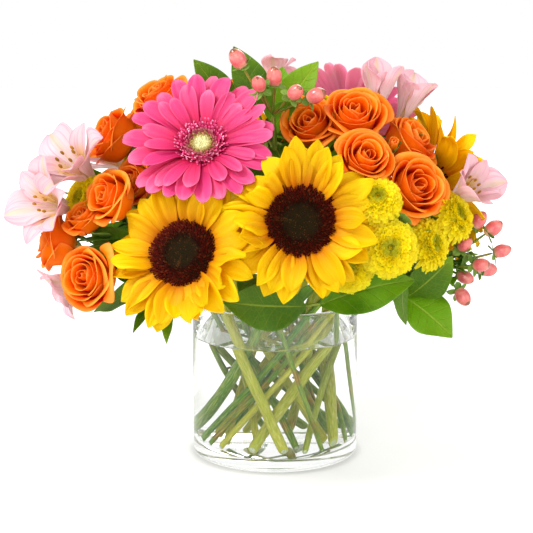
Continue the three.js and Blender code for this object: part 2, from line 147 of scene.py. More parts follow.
class Finish:
    def __init__(self, name):
        self.material = bpy.data.materials.new(name)
        self.material.use_nodes = True
        self.tree = self.material.node_tree
        self.tree.nodes.clear()

    def add(self, kind, settings, inputs, output=0):
        node = self.tree.nodes.new("ShaderNode" + kind)
        for key, value in settings.items():
            if key == "stops":
                self.setStops(node.color_ramp.elements, value)
            else:
                setattr(node, key, value)
        for key, value in inputs.items():
            socket = node.inputs[key]
            if isinstance(value, Wire):
                self.tree.links.new(value.socket, socket)
            elif socket.type == "RGBA":
                socket.default_value = (*value[:3], 1)
            else:
                socket.default_value = value
        return Wire(self, node.outputs[output]) if node.outputs else None

    def setStops(self, elements, stops):
        while len(elements) < len(stops):
            elements.new(1)
        for element, (place, colour) in zip(elements, stops):
            element.position = place
            element.color = (*tint(colour), 1)

    def ramp(self, value, stops):
        return self.add("ValToRGB", {"stops": stops}, {"Fac": value})

    def mix(self, share, one, other):
        inputs = {0: share, 6: one, 7: other}
        return self.add("Mix", {"data_type": "RGBA"}, inputs, output=2)

    def shaded(self, colour, value, hue=0.5):
        return self.add("HueSaturation", {}, {"Hue": hue, "Value": value, "Color": colour})

    def noise(self, vector, scale, detail=2.0):
        return self.add("TexNoise", {}, {"Vector": vector, "Scale": scale, "Detail": detail})

    def bump(self, height, strength, distance):
        return self.add("Bump", {}, {"Height": height, "Strength": strength, "Distance": distance})

    def blade(self):    # across 0..1, along 0..1 and the three shares a petal is painted with
        flat = self.add("UVMap", {"uv_map": "petal"}, {})
        across = self.add("SeparateXYZ", {}, {0: flat})
        along = Wire(self, across.socket.node.outputs[1])
        tone = self.add("Attribute", {"attribute_name": "tone"}, {}, output=1)
        luck = self.add("SeparateXYZ", {}, {0: tone})
        others = [Wire(self, luck.socket.node.outputs[i]) for i in (1, 2)]
        return across, along, luck, *others

    def close(self, shader, through=None):  # through is the light that comes through a thin petal
        if through:
            lit = self.add("BsdfTranslucent", {}, {"Color": tint(through["colour"])})
            shader = self.add("MixShader", {}, {0: through["share"], 1: shader, 2: lit})
        self.add("OutputMaterial", {}, {"Surface": shader})
        return self.material


# Each look's edge colour paints the petal margins and tips: partly a paler margin of the petal itself, partly
# a painted highlight along the lips.
# Stops run from a petal's root to its tip. The dark root colours of the sunflower, gerbera and inner rose
# petals are partly their own deeper colour and partly painted shade where the petals crowd round the heart of
# the bloom.
petalLooks = {
    "sunflowerGold": {
        "stops": [(0, "C05C00"), (0.13, "E08A00"), (0.33, "F0B600"), (0.66, "F8D000"), (1, "FFE000")],
        "edge": ("FFE400", 0.4), "ribs": 22, "ribDepth": 1.0, "rough": 0.5, "vary": 0.16, "shine": 0.15,
        "through": {"colour": "FFCC00", "share": 0.34},
    },
    "gerberaPink": {
        "stops": [(0, "A80434"), (0.2, "D01C58"), (0.5, "E83878"), (0.86, "F04C8A"), (1, "F874A6")],
        "edge": ("FA80B0", 0.45), "ribs": 16, "ribDepth": 0.8, "rough": 0.45, "vary": 0.16,
        "through": {"colour": "FF3C88", "share": 0.25},
    },
    "gerberaPale": {
        "stops": [(0, "E468A0"), (0.25, "F084B2"), (0.6, "F8A0C6"), (0.9, "FCB8D4"), (1, "FFCCE0")],
        "edge": ("FCCCE0", 0.45), "ribs": 14, "ribDepth": 0.4, "rough": 0.5, "vary": 0.12,
        "through": {"colour": "FF98C4", "share": 0.4},
    },
    "roseInside": {
        "stops": [(0, "CC1400"), (0.3, "F63C00"), (0.62, "FF6C00"), (0.9, "FF900C"), (1, "FFAC40")],
        "edge": ("FFA840", 0.5), "ribs": 12, "ribDepth": 0.4, "rough": 0.5, "vary": 0.14, "shine": 0.12,
        "through": {"colour": "FF4800", "share": 0.34},
    },
    "roseOutside": {
        "stops": [(0, "F2B040"), (0.2, "FF9018"), (0.55, "FF7C00"), (0.88, "FF8E14"), (1, "FFB058")],
        "edge": ("FFB058", 0.5), "ribs": 12, "ribDepth": 0.35, "rough": 0.5, "vary": 0.14, "shine": 0.12,
        "through": {"colour": "FF6000", "share": 0.32},
    },
    "mumYellow": {
        "stops": [(0, "98A000"), (0.2, "BCBC00"), (0.45, "E4D000"), (1, "F2E600")],
        "edge": ("FCF030", 0.4), "ribs": 5, "ribDepth": 0.3, "rough": 0.55, "vary": 0.12,
        "through": {"colour": "FFE600", "share": 0.4},
    },
    "alstroemeriaBlush": {
        "stops": [(0, "D8D49C"), (0.25, "F2E4D8"), (0.6, "F6DCDE"), (0.9, "F2CCD4"), (1, "ECBAC8")],
        "edge": ("F6C4D0", 0.5), "ribs": 22, "ribDepth": 0.6, "rough": 0.45, "vary": 0.08,
        "through": {"colour": "FFE0E2", "share": 0.3},
    },
}


def petalFinish(name):
    look = petalLooks[name]
    finish = Finish(name)
    across, along, luck, layer, other = finish.blade()
    grain = finish.add("CombineXYZ", {}, {0: across * look["ribs"], 1: along * 1.6, 2: luck * 9.0})
    ribs = finish.noise(grain, 1.0, 3.0)
    # painted shade, partly the petal's own colour: the colour darkens towards the petal's root
    colour = finish.ramp(along + (ribs - 0.5) * 0.16 + (luck - 0.5) * 0.1, look["stops"])
    # the petal margins and tips are painted paler: partly a paler margin of the petal itself, partly a
    # painted highlight along the lips
    side = abs(across * 2 - 1)
    edge, strength = look["edge"]
    rim = (side ** 3).within(0.25, 1.0) * along.within(0.2, 0.9) + along.within(0.9, 1.0)
    colour = finish.mix(rim * strength, colour, tint(edge))
    if name == "alstroemeriaBlush":
        colour = finish.mix(ribs.within(0.5, 0.66) * 0.55, colour, tint("DC88A4"))
        midrib = (1 - side.within(0.0, 0.3)) * along.within(0.25, 1.0)
        colour = finish.mix(midrib * (0.25 + layer * 0.75) * 0.6, colour, tint("C2C880"))
        throat = ((1 - layer) * along.within(0.1, 0.4) * (1 - along.within(0.5, 0.75))
                  * (1 - side.within(0.4, 0.9)))
        colour = finish.mix(throat * 0.8, colour, tint("F0C838"))
        dashes = finish.add("CombineXYZ", {}, {0: across * 14.0, 1: along * 9.0, 2: luck * 5.0})
        flecks = finish.noise(dashes, 1.0, 1.0).within(0.6, 0.68) * throat.within(0.1, 0.5)
        colour = finish.mix(flecks * 0.85, colour, tint("7A2A38"))
    value = 1 + (luck - 0.5) * look["vary"] + (other - 0.5) * look["vary"] + (ribs - 0.5) * 0.22
    colour = finish.shaded(colour, value, 0.5 + (luck - 0.5) * 0.012)
    normal = finish.bump(ribs, look["ribDepth"], 0.0006)
    shader = finish.add("BsdfPrincipled", {}, {
        "Base Color": colour, "Roughness": look["rough"], "Specular IOR Level": look.get("shine", 0.3),
        "Normal": normal,
    })
    return finish.close(shader, look["through"])


def dotFinish(name, stops, rough, spots=None, shine=0.35):      # small parts, coloured by their layer share
    finish = Finish(name)
    across, along, luck, layer, other = finish.blade()
    place = finish.add("TexCoord", {}, {}, output=3)
    grain = finish.noise(place, 900.0, 2.0)
    colour = finish.ramp(layer, stops)
    if spots:
        share = (grain * luck).within(*spots["range"]) * spots["share"]
        colour = finish.mix(share, colour, tint(spots["colour"]))
    colour = finish.shaded(colour, 0.75 + luck * 0.5 + (grain - 0.5) * 0.5)
    shader = finish.add("BsdfPrincipled", {}, {
        "Base Color": colour, "Roughness": rough, "Specular IOR Level": shine,
        "Normal": finish.bump(grain, 0.5, 0.0003),
    })
    return finish.close(shader)


leafLooks = {
    "leafGloss": {
        "colours": ("427000", "6A9A00", "94B814"), "vein": "A0B838", "rough": 0.42, "coat": 0.05,
        "through": {"colour": "86C010", "share": 0.22},
    },
    "leafUnder": {
        "colours": ("5C8A26", "7A9E3C", "92AE50"), "vein": "B4C474", "rough": 0.6, "coat": 0.0,
        "through": {"colour": "8ABF30", "share": 0.2},
    },
}


def leafFinish(name):
    look = leafLooks[name]
    finish = Finish(name)
    across, along, luck, layer, other = finish.blade()
    place = finish.add("TexCoord", {}, {}, output=3)
    side = abs(across * 2 - 1)
    blotch = finish.noise(place, 60.0, 4.0)
    dark, mid, light = (tint(code) for code in look["colours"])
    colour = finish.mix((blotch + (luck - 0.5) * 0.5).within(0.25, 0.8), dark, mid)
    colour = finish.mix(along.within(0.5, 1.1) * 0.35 + layer * 0.8, colour, light)
    wave = finish.noise(place, 90.0, 2.0)
    rank = (along - side * 0.22 + side ** 2 * 0.06) * 7.0 + (wave - 0.5) * 0.25
    gap = abs(finish.add("Math", {"operation": "FRACT"}, {0: rank}) - 0.5)
    lateral = (1 - gap.within(0.0, 0.07)) * (1 - side.within(0.75, 1.0)) * along.within(0.03, 0.12)
    midrib = 1 - side.within(0.02, 0.07)
    mesh = finish.add("TexVoronoi", {"feature": "DISTANCE_TO_EDGE"}, {"Vector": place, "Scale": 260.0})
    net = 1 - mesh.within(0.0, 0.08)
    colour = finish.mix(net * 0.18, colour, tint(look["vein"]))
    colour = finish.mix(lateral * 0.28, colour, tint(look["vein"]))
    colour = finish.mix(midrib * 0.6, colour, tint(look["vein"]))
    relief = (1 - lateral) * 0.6 + (1 - midrib) * 0.8 + (1 - net) * 0.15
    shader = finish.add("BsdfPrincipled", {}, {
        "Base Color": finish.shaded(colour, 0.85 + luck * 0.3, 0.5 + (other - 0.5) * 0.02),
        "Roughness": look["rough"] + blotch * 0.15, "Specular IOR Level": 0.22,
        "Coat Weight": look["coat"], "Coat Roughness": 0.3,
        "Normal": finish.bump(relief, 0.9, 0.0006),
    })
    return finish.close(shader, look["through"])


def stemFinish():      # across goes round the stem, along is its length in tenths of a metre
    finish = Finish("stemGreen")
    across, along, luck, wood, other = finish.blade()
    place = finish.add("TexCoord", {}, {}, output=3)
    turn = across * tau
    skin = finish.add("CombineXYZ", {}, {
        0: turn.maths("COSINE", turn) * 2.4, 1: turn.maths("SINE", turn) * 2.4, 2: along * 3.6 + luck * 37.0,
    })
    streak = finish.noise(skin, 1.6, 4.0)
    fine = finish.noise(skin, 4.5, 4.0)
    blotch = finish.noise(place, 55.0, 4.0)
    green = finish.mix(luck.within(0.2, 0.8), tint("3E8000"), tint("C8C43C"))
    green = finish.mix(streak.within(0.46, 0.62) * 0.6, green, tint("A0B428"))
    green = finish.mix(fine.within(0.52, 0.66) * 0.5, green, tint("E8E4A8"))
    green = finish.mix((1 - fine.within(0.34, 0.46)) * 0.55, green, tint("386800"))
    bark = finish.mix(streak.within(0.35, 0.65), tint("7A4008"), tint("CCA850"))
    share = (wood + (blotch - 0.5) * 1.3 + (fine - 0.5) * 0.9).within(0.5, 0.8)
    colour = finish.mix(share * 0.8, green, bark)
    shader = finish.add("BsdfPrincipled", {}, {
        "Base Color": finish.shaded(colour, 0.86 + blotch * 0.3), "Roughness": 0.45,
        "Specular IOR Level": 0.25, "Normal": finish.bump(streak * 0.6 + fine * 0.4, 0.9, 0.0008),
    })
    return finish.close(shader)


def pithFinish():
    finish = Finish("cutPith")
    place = finish.add("TexCoord", {}, {}, output=3)
    grain = finish.noise(place, 800.0, 3.0)
    colour = finish.mix(grain.within(0.35, 0.65), tint("E6EAD0"), tint("B8C890"))
    shader = finish.add("BsdfPrincipled", {}, {
        "Base Color": colour, "Roughness": 0.7, "Normal": finish.bump(grain, 0.6, 0.0004),
    })
    return finish.close(shader)


def berryFinish():
    finish = Finish("berryCoral")
    across, along, luck, layer, other = finish.blade()
    place = finish.add("TexCoord", {}, {}, output=3)
    grain = finish.noise(place, 220.0, 3.0)
    colour = finish.ramp(layer + (grain - 0.5) * 0.3, [
        (0, "F4C8A0"), (0.2, "EC8478"), (0.4, "E46468"), (0.8, "EC7A74"), (0.975, "E07064"), (1, "8A4A28"),
    ])
    colour = finish.mix(grain.within(0.5, 0.75) * 0.4, colour, tint("F4B49C"))
    shader = finish.add("BsdfPrincipled", {}, {
        "Base Color": finish.shaded(colour, 0.9 + luck * 0.2), "Roughness": 0.22 + grain * 0.12,
        "Coat Weight": 0.5, "Coat Roughness": 0.2, "Normal": finish.bump(grain, 0.1, 0.0003),
    })
    return finish.close(shader, {"colour": "FF7060", "share": 0.08})


# Where water and glass meet, the glass carries the step between them and the water's own side bends nothing.
clearLooks = {
    "glassClear": {"colour": "FDFEFD", "ior": 1.45, "rippleScale": 30.0, "ripple": 0.05},
    "glassWet": {"colour": "FFFFFF", "ior": 1.09, "rippleScale": 30.0, "ripple": 0.0},
    "waterClear": {"colour": "FFFFFF", "ior": 1.33, "rippleScale": 45.0, "ripple": 0.08},
    "waterSide": {"colour": "FFFFFF", "ior": 1.0, "rippleScale": 45.0, "ripple": 0.0},
}


def clearFinish(name):
    look = clearLooks[name]
    finish = Finish(name)
    place = finish.add("TexCoord", {}, {}, output=3)
    wave = finish.noise(place, look["rippleScale"], 2.0)
    shader = finish.add("BsdfPrincipled", {}, {
        "Base Color": tint(look["colour"]), "Roughness": 0.0, "IOR": look["ior"], "Transmission Weight": 1.0,
        "Normal": finish.bump(wave, look["ripple"], 0.0008),
    })
    soft = finish.add("LightPath", {}, {}, output="Is Diffuse Ray")
    lamp = Wire(finish, soft.socket.node.outputs["Is Shadow Ray"])
    clear = finish.add("BsdfTransparent", {}, {"Color": (0.9, 0.91, 0.9)})
    lit = finish.add("MixShader", {}, {0: lamp.maths("MAXIMUM", lamp, soft), 1: shader, 2: clear})
    return finish.close(lit)


finishes = {name: petalFinish(name) for name in petalLooks}
finishes.update({name: leafFinish(name) for name in leafLooks})
finishes["stemGreen"] = stemFinish()
finishes["cutPith"] = pithFinish()
finishes["berryCoral"] = berryFinish()
finishes["sunflowerSeed"] = dotFinish("sunflowerSeed", [
    (0, "221C08"), (0.3, "261A06"), (0.46, "2A0C04"), (0.62, "4C0C03"), (0.9, "581003"), (1, "3A0803"),
], 0.9, spots={"range": (0.34, 0.5), "share": 0.35, "colour": "6E3A18"}, shine=0.1)
finishes["gerberaCrown"] = dotFinish("gerberaCrown", [
    (0, "D6CE90"), (0.17, "DCD498"), (0.26, "A89048"), (0.34, "8C6C38"), (0.46, "C85878"), (0.6, "BC1850"),
    (0.8, "DC3C78"), (1, "FFC8DE"),
], 0.6)
finishes["stamenMustard"] = dotFinish("stamenMustard", [(0, "D8C070"), (0.5, "E8D8A0"), (1, "A8780C")], 0.7)
finishes["mumHeart"] = dotFinish("mumHeart", [(0, "788C08"), (0.5, "98A008"), (1, "C4B000")], 0.7)
finishes.update({name: clearFinish(name) for name in clearLooks})
print("finishes:", len(finishes))


# Making a piece
def newShape():
    bm = bmesh.new()
    bm.loops.layers.uv.new("petal")
    bm.verts.layers.float_vector.new("tone")
    return bm


def paint(bm, verts, tone):
    layer = bm.verts.layers.float_vector["tone"]
    for vert in verts:
        vert[layer] = tone


def makePiece(name, bm, looks, nodes, wall=0, smooth=1):
    bmesh.ops.transform(bm, matrix=Matrix.Scale(mm, 4), verts=bm.verts)
    for face in bm.faces:
        face.smooth = True
    mesh = bpy.data.meshes.new(name)
    bm.to_mesh(mesh)
    bm.free()
    for look in looks:
        mesh.materials.append(finishes[look])
    piece = bpy.data.objects.new(name, mesh)
    bpy.context.scene.collection.objects.link(piece)
    if wall:
        solid = piece.modifiers.new("thickness", "SOLIDIFY")
        solid.thickness = wall * mm
        solid.offset = 0
        solid.material_offset = solid.material_offset_rim = len(looks) - 1
    if smooth:
        soft = piece.modifiers.new("rounding", "SUBSURF")
        soft.levels = soft.render_levels = smooth
    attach(piece, "root")
    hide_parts(*nodes)


def through(stops, share):      # a smooth line through (share, value) stops
    last = len(stops) - 2
    k = next((i for i in range(last) if share < stops[i + 1][0]), last)
    (s0, v0), (s1, v1) = stops[k], stops[k + 1]
    sBefore, vBefore = stops[max(k - 1, 0)]
    sAfter, vAfter = stops[min(k + 2, last + 1)]
    t = min(max((share - s0) / (s1 - s0), 0), 1)
    slope0 = (v1 - vBefore) / (s1 - sBefore) * (s1 - s0)
    slope1 = (vAfter - v0) / (sAfter - s0) * (s1 - s0)
    t2, t3 = t * t, t * t * t
    return ((2 * t3 - 3 * t2 + 1) * v0 + (t3 - 2 * t2 + t) * slope0
            + (3 * t2 - 2 * t3) * v1 + (t3 - t2) * slope1)


def heading(bearing, lift):     # bearing turns from the front to the right, lift rises
    b, l = radians(bearing), radians(lift)
    return Vector((sin(b) * cos(l), -cos(b) * cos(l), sin(l)))


def seatOf(at, facing, roll=0):     # the bloom's own frame: Z where it faces, X to its right
    outward = heading(*facing)
    right = Vector((cos(radians(facing[0])), sin(radians(facing[0])), 0))
    up = outward.cross(right)
    turn = Matrix((right, up, outward)).transposed().to_4x4()
    return Matrix.Translation(at) @ turn @ Matrix.Rotation(radians(roll), 4, "Z")


def frameOn(at, along, face):       # X along, Z towards face
    side = face.cross(along).normalized()
    up = along.cross(side)
    turn = Matrix((along, side, up)).transposed().to_4x4()
    return Matrix.Translation(at) @ turn


def onRing(bearing, radius, height):
    b = radians(bearing)
    return Vector((radius * sin(b), -radius * cos(b), height))


# A petal, sepal or bract: a grid bent along its length, folded across and waved at its edges.
# Its frame: X runs out from the root, Z is its upper side.
def addBlade(bm, place, blade, tone, dice):
    def vary(key):
        return blade.get(key, 0) + dice.uniform(-1, 1) * blade.get(key + "Spread", 0)
    rows, columns = blade["rows"], blade["columns"]
    length, width, cup, sway = (vary(key) for key in ("length", "width", "cup", "sway"))
    rise, bend, curl, twist = (radians(vary(key)) for key in ("rise", "bend", "curl", "twist"))
    wave, waves = vary("wave"), blade.get("waves", 1.5)
    folds, foldDepth = blade.get("folds", 2), vary("foldDepth")
    phase, flip = dice.uniform(0, tau), dice.uniform(1.5, 4.5)
    line = [(0.0, 0.0, rise)]
    for step in range(rows):
        share = (step + 0.5) / rows
        angle = rise + bend * share + curl * share ** 3
        x, z, _ = line[-1]
        line.append((x + cos(angle) * length / rows, z + sin(angle) * length / rows, angle))
    grid = bmesh.ops.create_grid(bm, x_segments=columns, y_segments=rows, size=1, calc_uvs=True)["verts"]
    layer = bm.verts.layers.float_vector["tone"]
    for vert in grid:
        across, share = -vert.co.x, (vert.co.y + 1) / 2
        x, z, angle = line[round(share * rows)]
        half = width / 2 * through(blade["outline"], share)
        ruffle = wave * across * across * sin(share * waves * tau + phase + (flip if across > 0 else 0))
        lift = cup * half * across * across + foldDepth * cos(folds * pi * across) * sin(pi * share)
        lift += ruffle * share
        turn = twist * share
        y = across * half * cos(turn) - lift * sin(turn) + sway * share * share
        up = across * half * sin(turn) + lift * cos(turn)
        vert.co = place @ Vector((x - up * sin(angle), y, z + up * cos(angle)))
        vert[layer] = tone


def addRing(bm, seat, ring, dice, share=0.5):   # a round of petals
    for i in range(ring["count"]):
        spin = (i + ring.get("start", 0) + dice.uniform(-1, 1) * ring["jitter"]) / ring["count"] * tau
        root = Vector((ring["root"], 0, ring["height"] + dice.uniform(-1, 1) * ring.get("heightSpread", 0.3)))
        place = seat @ Matrix.Rotation(spin, 4, "Z") @ Matrix.Translation(root)
        place = place @ Matrix.Rotation(radians(dice.uniform(-1, 1) * ring.get("lean", 5)), 4, "X")
        addBlade(bm, place, ring, (dice.random(), ring.get("layer", 0), share), dice)


def addStamp(bm, shape, place, tone):       # a copy of a small mesh
    start = len(bm.verts)
    copy = shape.copy()
    copy.transform(place)
    bm.from_mesh(copy)
    bpy.data.meshes.remove(copy)
    bm.verts.ensure_lookup_table()
    paint(bm, bm.verts[start:], tone)


def addTube(bm, points, radii, sides, tone, cut=False):
    points = [Vector(p) for p in points]
    ahead = [(b - a).normalized() for a, b in zip(points, points[1:])]
    ahead = [ahead[0]] + [(a + b).normalized() for a, b in zip(ahead, ahead[1:])] + [ahead[-1]]
    turn = upward.rotation_difference(ahead[0]).to_matrix().to_4x4()
    place = Matrix.Translation(points[0]) @ turn @ Matrix.Scale(radii[0], 4)
    ring = bmesh.ops.create_circle(bm, cap_ends=True, radius=1, segments=sides, matrix=place)["verts"]
    spots = {vert: (i, 0) for i, vert in enumerate(ring)}       # how far round and how far along
    rows = [list(ring)]
    foot = ring[0].link_faces[0]
    foot.normal_flip()
    edges = list(foot.edges)
    gone = 0
    for k in range(1, len(points)):
        made = bmesh.ops.extrude_edge_only(bm, edges=edges)["geom"]
        ring = [part for part in made if isinstance(part, bmesh.types.BMVert)]
        edges = [part for part in made if isinstance(part, bmesh.types.BMEdge)
                 and all(vert in ring for vert in part.verts)]
        swing = ahead[k - 1].rotation_difference(ahead[k]).to_matrix().to_4x4()
        step = (Matrix.Translation(points[k]) @ swing @ Matrix.Scale(radii[k] / radii[k - 1], 4)
                @ Matrix.Translation(-points[k - 1]))
        gone += (points[k] - points[k - 1]).length
        for vert in ring:
            mates = [edge.other_vert(vert) for edge in vert.link_edges]
            below = next(mate for mate in mates if mate in rows[-1])
            spots[vert] = (spots[below][0], gone / 100)
        bmesh.ops.transform(bm, matrix=step, verts=ring)
        rows.append(list(ring))
    cap = bmesh.ops.contextual_create(bm, geom=edges)["faces"]
    faces = {face for vert in spots for face in vert.link_faces}
    bmesh.ops.recalc_face_normals(bm, faces=list(faces | set(cap)))
    skin = bm.loops.layers.uv["petal"]
    for face in faces - set(cap) - {foot}:
        last = any(spots[vert][0] == sides - 1 for vert in face.verts)
        for loop in face.loops:
            i, along = spots[loop.vert]
            loop[skin].uv = ((sides if last and i == 0 else i) / sides, along)
    paint(bm, spots, tone)
    layer = bm.verts.layers.float_vector["tone"]
    for k in range(1, len(rows) - 1):       # the nodes are browner
        if radii[k] > radii[0] * 1.1:
            for vert in rows[k]:
                vert[layer] = (tone[0], min(tone[1] + 0.25, 1), tone[2])
    if cut:
        outward = Vector((points[0].x, points[0].y, 0)).normalized()
        for vert in foot.verts:
            vert.co += ahead[0] * (vert.co - points[0]).dot(outward) * 0.55
        rim = bmesh.ops.inset_individual(bm, faces=[foot], thickness=radii[0] * 0.3, depth=-0.3)["faces"]
        foot.material_index = 1
        for face in rim:
            paint(bm, face.verts, tone)


stub = {"count": 2, "steps": range(3, 10), "turn": 70, "rise": (10, 45), "reach": (1.2, 3.2),
        "taper": (0.55, 0.5, 0.42), "wood": 0.7}


def addStubs(bm, points, radius, dice, tone):       # trimmed side shoots on a stem's lower part
    for spot in dice.sample(stub["steps"], stub["count"]):
        at = points[spot]
        bearing = degrees(atan2(-at.x, at.y)) + dice.uniform(-stub["turn"], stub["turn"])
        out = heading(bearing, dice.uniform(*stub["rise"]))
        tip = at + out * (radius + dice.uniform(*stub["reach"]))
        radii = [radius * share for share in stub["taper"]]
        addTube(bm, [at, at.lerp(tip, 0.6), tip], radii, 8, (tone[0], stub["wood"], tone[2]))


def curve(a, b, c, d, steps):       # points on a cubic curve
    shares = [i / steps for i in range(steps + 1)]
    return [a * (1 - t) ** 3 + b * 3 * t * (1 - t) ** 2 + c * 3 * t * t * (1 - t) + d * t ** 3
            for t in shares]


# How the stems stand in the glass
vase = {"radius": 63.5, "height": 120, "wall": 4, "floor": 9, "heel": 4, "sides": 400}
waterLevel = 92
neckHeight = 112
rings = {
    "outer": {"foot": 51, "neck": 54.5, "twist": 105},
    "crossing": {"foot": 51, "neck": 54.5, "twist": -55},
    "steep": {"foot": 51, "neck": 54.5, "twist": -40},
    "inner": {"foot": 35, "neck": 30, "twist": -112},
}
# A stem is straight up to its neck, just under the rim of the glass, and curves from there.
stemLine = {"lowSteps": 12, "highSteps": 14, "leave": 0.28, "arrive": 0.36}


def stemTop(ring, neck, radius):
    back = 0 if ring == "inner" else radius * 1.25
    return onRing(neck, rings[ring]["neck"] - back, neckHeight)


def stemCourse(ring, neck, end, endHeading, radius):
    foot = onRing(neck - rings[ring]["twist"], rings[ring]["foot"], vase["floor"] - 1)
    top = stemTop(ring, neck, radius)
    lean = (top - foot).normalized()
    reach = (top - end).length
    start = foot + lean * ((1.6 + radius * 1.1) / lean.z)       # the cut end stays above the glass floor
    steps = stemLine["lowSteps"]
    low = [start.lerp(top, i / steps) for i in range(steps)]
    leaving = top + lean * stemLine["leave"] * reach
    arriving = end - endHeading * stemLine["arrive"] * reach
    return low + curve(top, leaving, arriving, end, stemLine["highSteps"])


def aboveNeck(points):
    return points[stemLine["lowSteps"] + 1:]


def sprayRise(ring, neck, fork):
    return (fork - onRing(neck, rings[ring]["neck"], neckHeight)).normalized()


def branchCourse(fork, end, endHeading, steps=8):
    reach = (end - fork).length
    bend = (fork + upward * 0.15 * reach).lerp(end, 0.2)
    return curve(fork, bend, end - endHeading * 0.4 * reach, end, steps)


def knotty(points, radius, dice, every=5, grow=0.13, wobble=0.25):  # a stem thickens at its nodes
    offset = dice.randrange(every)
    radii = [radius * (1 + (grow if (i + offset) % every == 0 else dice.uniform(-0.03, 0.03)))
             for i in range(len(points))]
    radii[-1] = radius
    moved = [p + Vector([dice.uniform(-1, 1) * wobble for _ in range(3)]) for p in points]
    return [points[0], *moved[1:-1], points[-1]], radii


# Sunflowers
sunflower = {
    "stem": 4, "calyx": 24, "cupTop": -1.9, "discRadius": 25.5, "florets": 950, "stemTone": (0.45, 0.0),
    "front": {
        "count": 18, "jitter": 0.35, "root": 22, "height": 1.6, "layer": 1, "lean": 16,
        "length": 33, "lengthSpread": 4, "width": 17.5, "widthSpread": 2.6, "rise": 34, "riseSpread": 17,
        "bend": -38, "bendSpread": 34, "curl": 4, "curlSpread": 55, "twist": 0, "twistSpread": 42,
        "cup": 0.3, "cupSpread": 0.35, "foldDepth": 1.15, "foldDepthSpread": 0.4, "folds": 3,
        "wave": 1.9, "waveSpread": 1.3, "waves": 1.5, "sway": 0, "swaySpread": 4, "rows": 10, "columns": 8,
        "outline": [(0, 0.42), (0.12, 0.66), (0.38, 0.98), (0.6, 1.0), (0.8, 0.76), (0.93, 0.36), (1, 0.04)],
    },
    "back": {
        "count": 20, "jitter": 0.3, "root": 22, "height": -0.4, "layer": 0, "lean": 14,
        "length": 36, "lengthSpread": 3, "width": 18, "widthSpread": 2.2, "rise": 17, "riseSpread": 9,
        "bend": -12, "bendSpread": 24, "curl": -8, "curlSpread": 36, "twist": 0, "twistSpread": 26,
        "cup": 0.2, "cupSpread": 0.3, "foldDepth": 1.05, "foldDepthSpread": 0.35, "folds": 3,
        "wave": 1.7, "waveSpread": 1.1, "waves": 1.4, "sway": 0, "swaySpread": 3.4, "rows": 10, "columns": 8,
        "outline": [(0, 0.42), (0.12, 0.66), (0.38, 0.98), (0.6, 1.0), (0.8, 0.76), (0.93, 0.36), (1, 0.04)],
    },
    "bracts": {
        "count": 13, "jitter": 0.2, "root": 15, "height": -7.5, "layer": 0, "lean": 6,
        "length": 22, "lengthSpread": 2.5, "width": 9.5, "widthSpread": 1, "rise": 32, "riseSpread": 5,
        "bend": -34, "bendSpread": 8, "curl": 0, "curlSpread": 14, "cup": 0.2, "foldDepth": 0.2,
        "rows": 6, "columns": 4,
        "outline": [(0, 0.8), (0.25, 1.0), (0.55, 0.75), (0.8, 0.35), (1, 0.03)],
    },
    "plants": [
        {"name": "sunflower_left", "at": (-64, -98, 172), "facing": (-24, 30), "ring": "crossing",
         "neck": -45},
        {"name": "sunflower_centre", "at": (17, -100, 195), "facing": (3, 12), "ring": "outer", "neck": -12},
        {"name": "sunflower_right", "at": (118, 12, 205), "facing": (114, 10), "ring": "outer", "neck": 82,
         "reach": 7, "open": 8, "spread": 0.9},
        {"name": "sunflower_back", "at": (-10, 98, 205), "facing": (184, 24), "ring": "outer", "neck": 158},
    ],
}


def floretShape(sides, low, high, tall, teeth):     # a small tube that opens into teeth
    bm = bmesh.new()
    bmesh.ops.create_cone(bm, cap_ends=True, segments=sides, radius1=low, radius2=high, depth=tall)
    bmesh.ops.translate(bm, vec=(0, 0, tall / 2), verts=bm.verts)
    top = max(bm.faces, key=lambda face: face.calc_center_median().z)
    bmesh.ops.inset_individual(bm, faces=[top], thickness=high * 0.45, depth=-tall * teeth)
    mesh = bpy.data.meshes.new("floret")
    bm.to_mesh(mesh)
    bm.free()
    return mesh


def addDome(bm, seat, profile, steps, tone, material=0):      # a turned shape, its profile from pole to pole
    verts = [bm.verts.new((r, 0, z)) for r, z in profile]
    edges = [bm.edges.new(pair) for pair in zip(verts, verts[1:])]
    before = set(bm.verts) - set(verts)
    bmesh.ops.spin(bm, geom=verts + edges, axis=(0, 0, 1), cent=(0, 0, 0), angle=tau, steps=steps,
                   use_merge=True)
    made = [vert for vert in bm.verts if vert not in before]
    bmesh.ops.remove_doubles(bm, verts=made, dist=0.001)
    made = [vert for vert in bm.verts if vert not in before]
    faces = list({face for vert in made for face in vert.link_faces})
    bmesh.ops.recalc_face_normals(bm, faces=faces)
    for face in faces:
        face.material_index = material
    bmesh.ops.transform(bm, matrix=seat, verts=made)
    paint(bm, made, tone)
    return made


def sunflowerHeight(r):     # the disc's own dome, dipped in the middle
    return through([(0, 3.2), (8, 3.4), (13, 4.6), (20, 4.2), (25.5, 1.2), (27, 0.2)], r)


# The front gerbera, and the saucer that its petals make
gerberaSeat = {"at": (-52, -66, 244), "facing": (-8, 38), "reach": 62, "flat": 12, "open": 0.28, "gap": 2.5,
               "far": 30}


def pressBack(bm, wall):        # whatever would push through the gerbera's saucer is pressed behind it
    outward = heading(*wall["facing"])
    for vert in bm.verts:
        offset = vert.co - Vector(wall["at"])
        depth = offset.dot(outward)
        aside = (offset - outward * depth).length
        limit = max(0, aside - wall["flat"]) * wall["open"] - wall["gap"]
        if aside < wall["reach"] and limit < depth < wall["far"]:
            vert.co -= outward * (depth - limit)


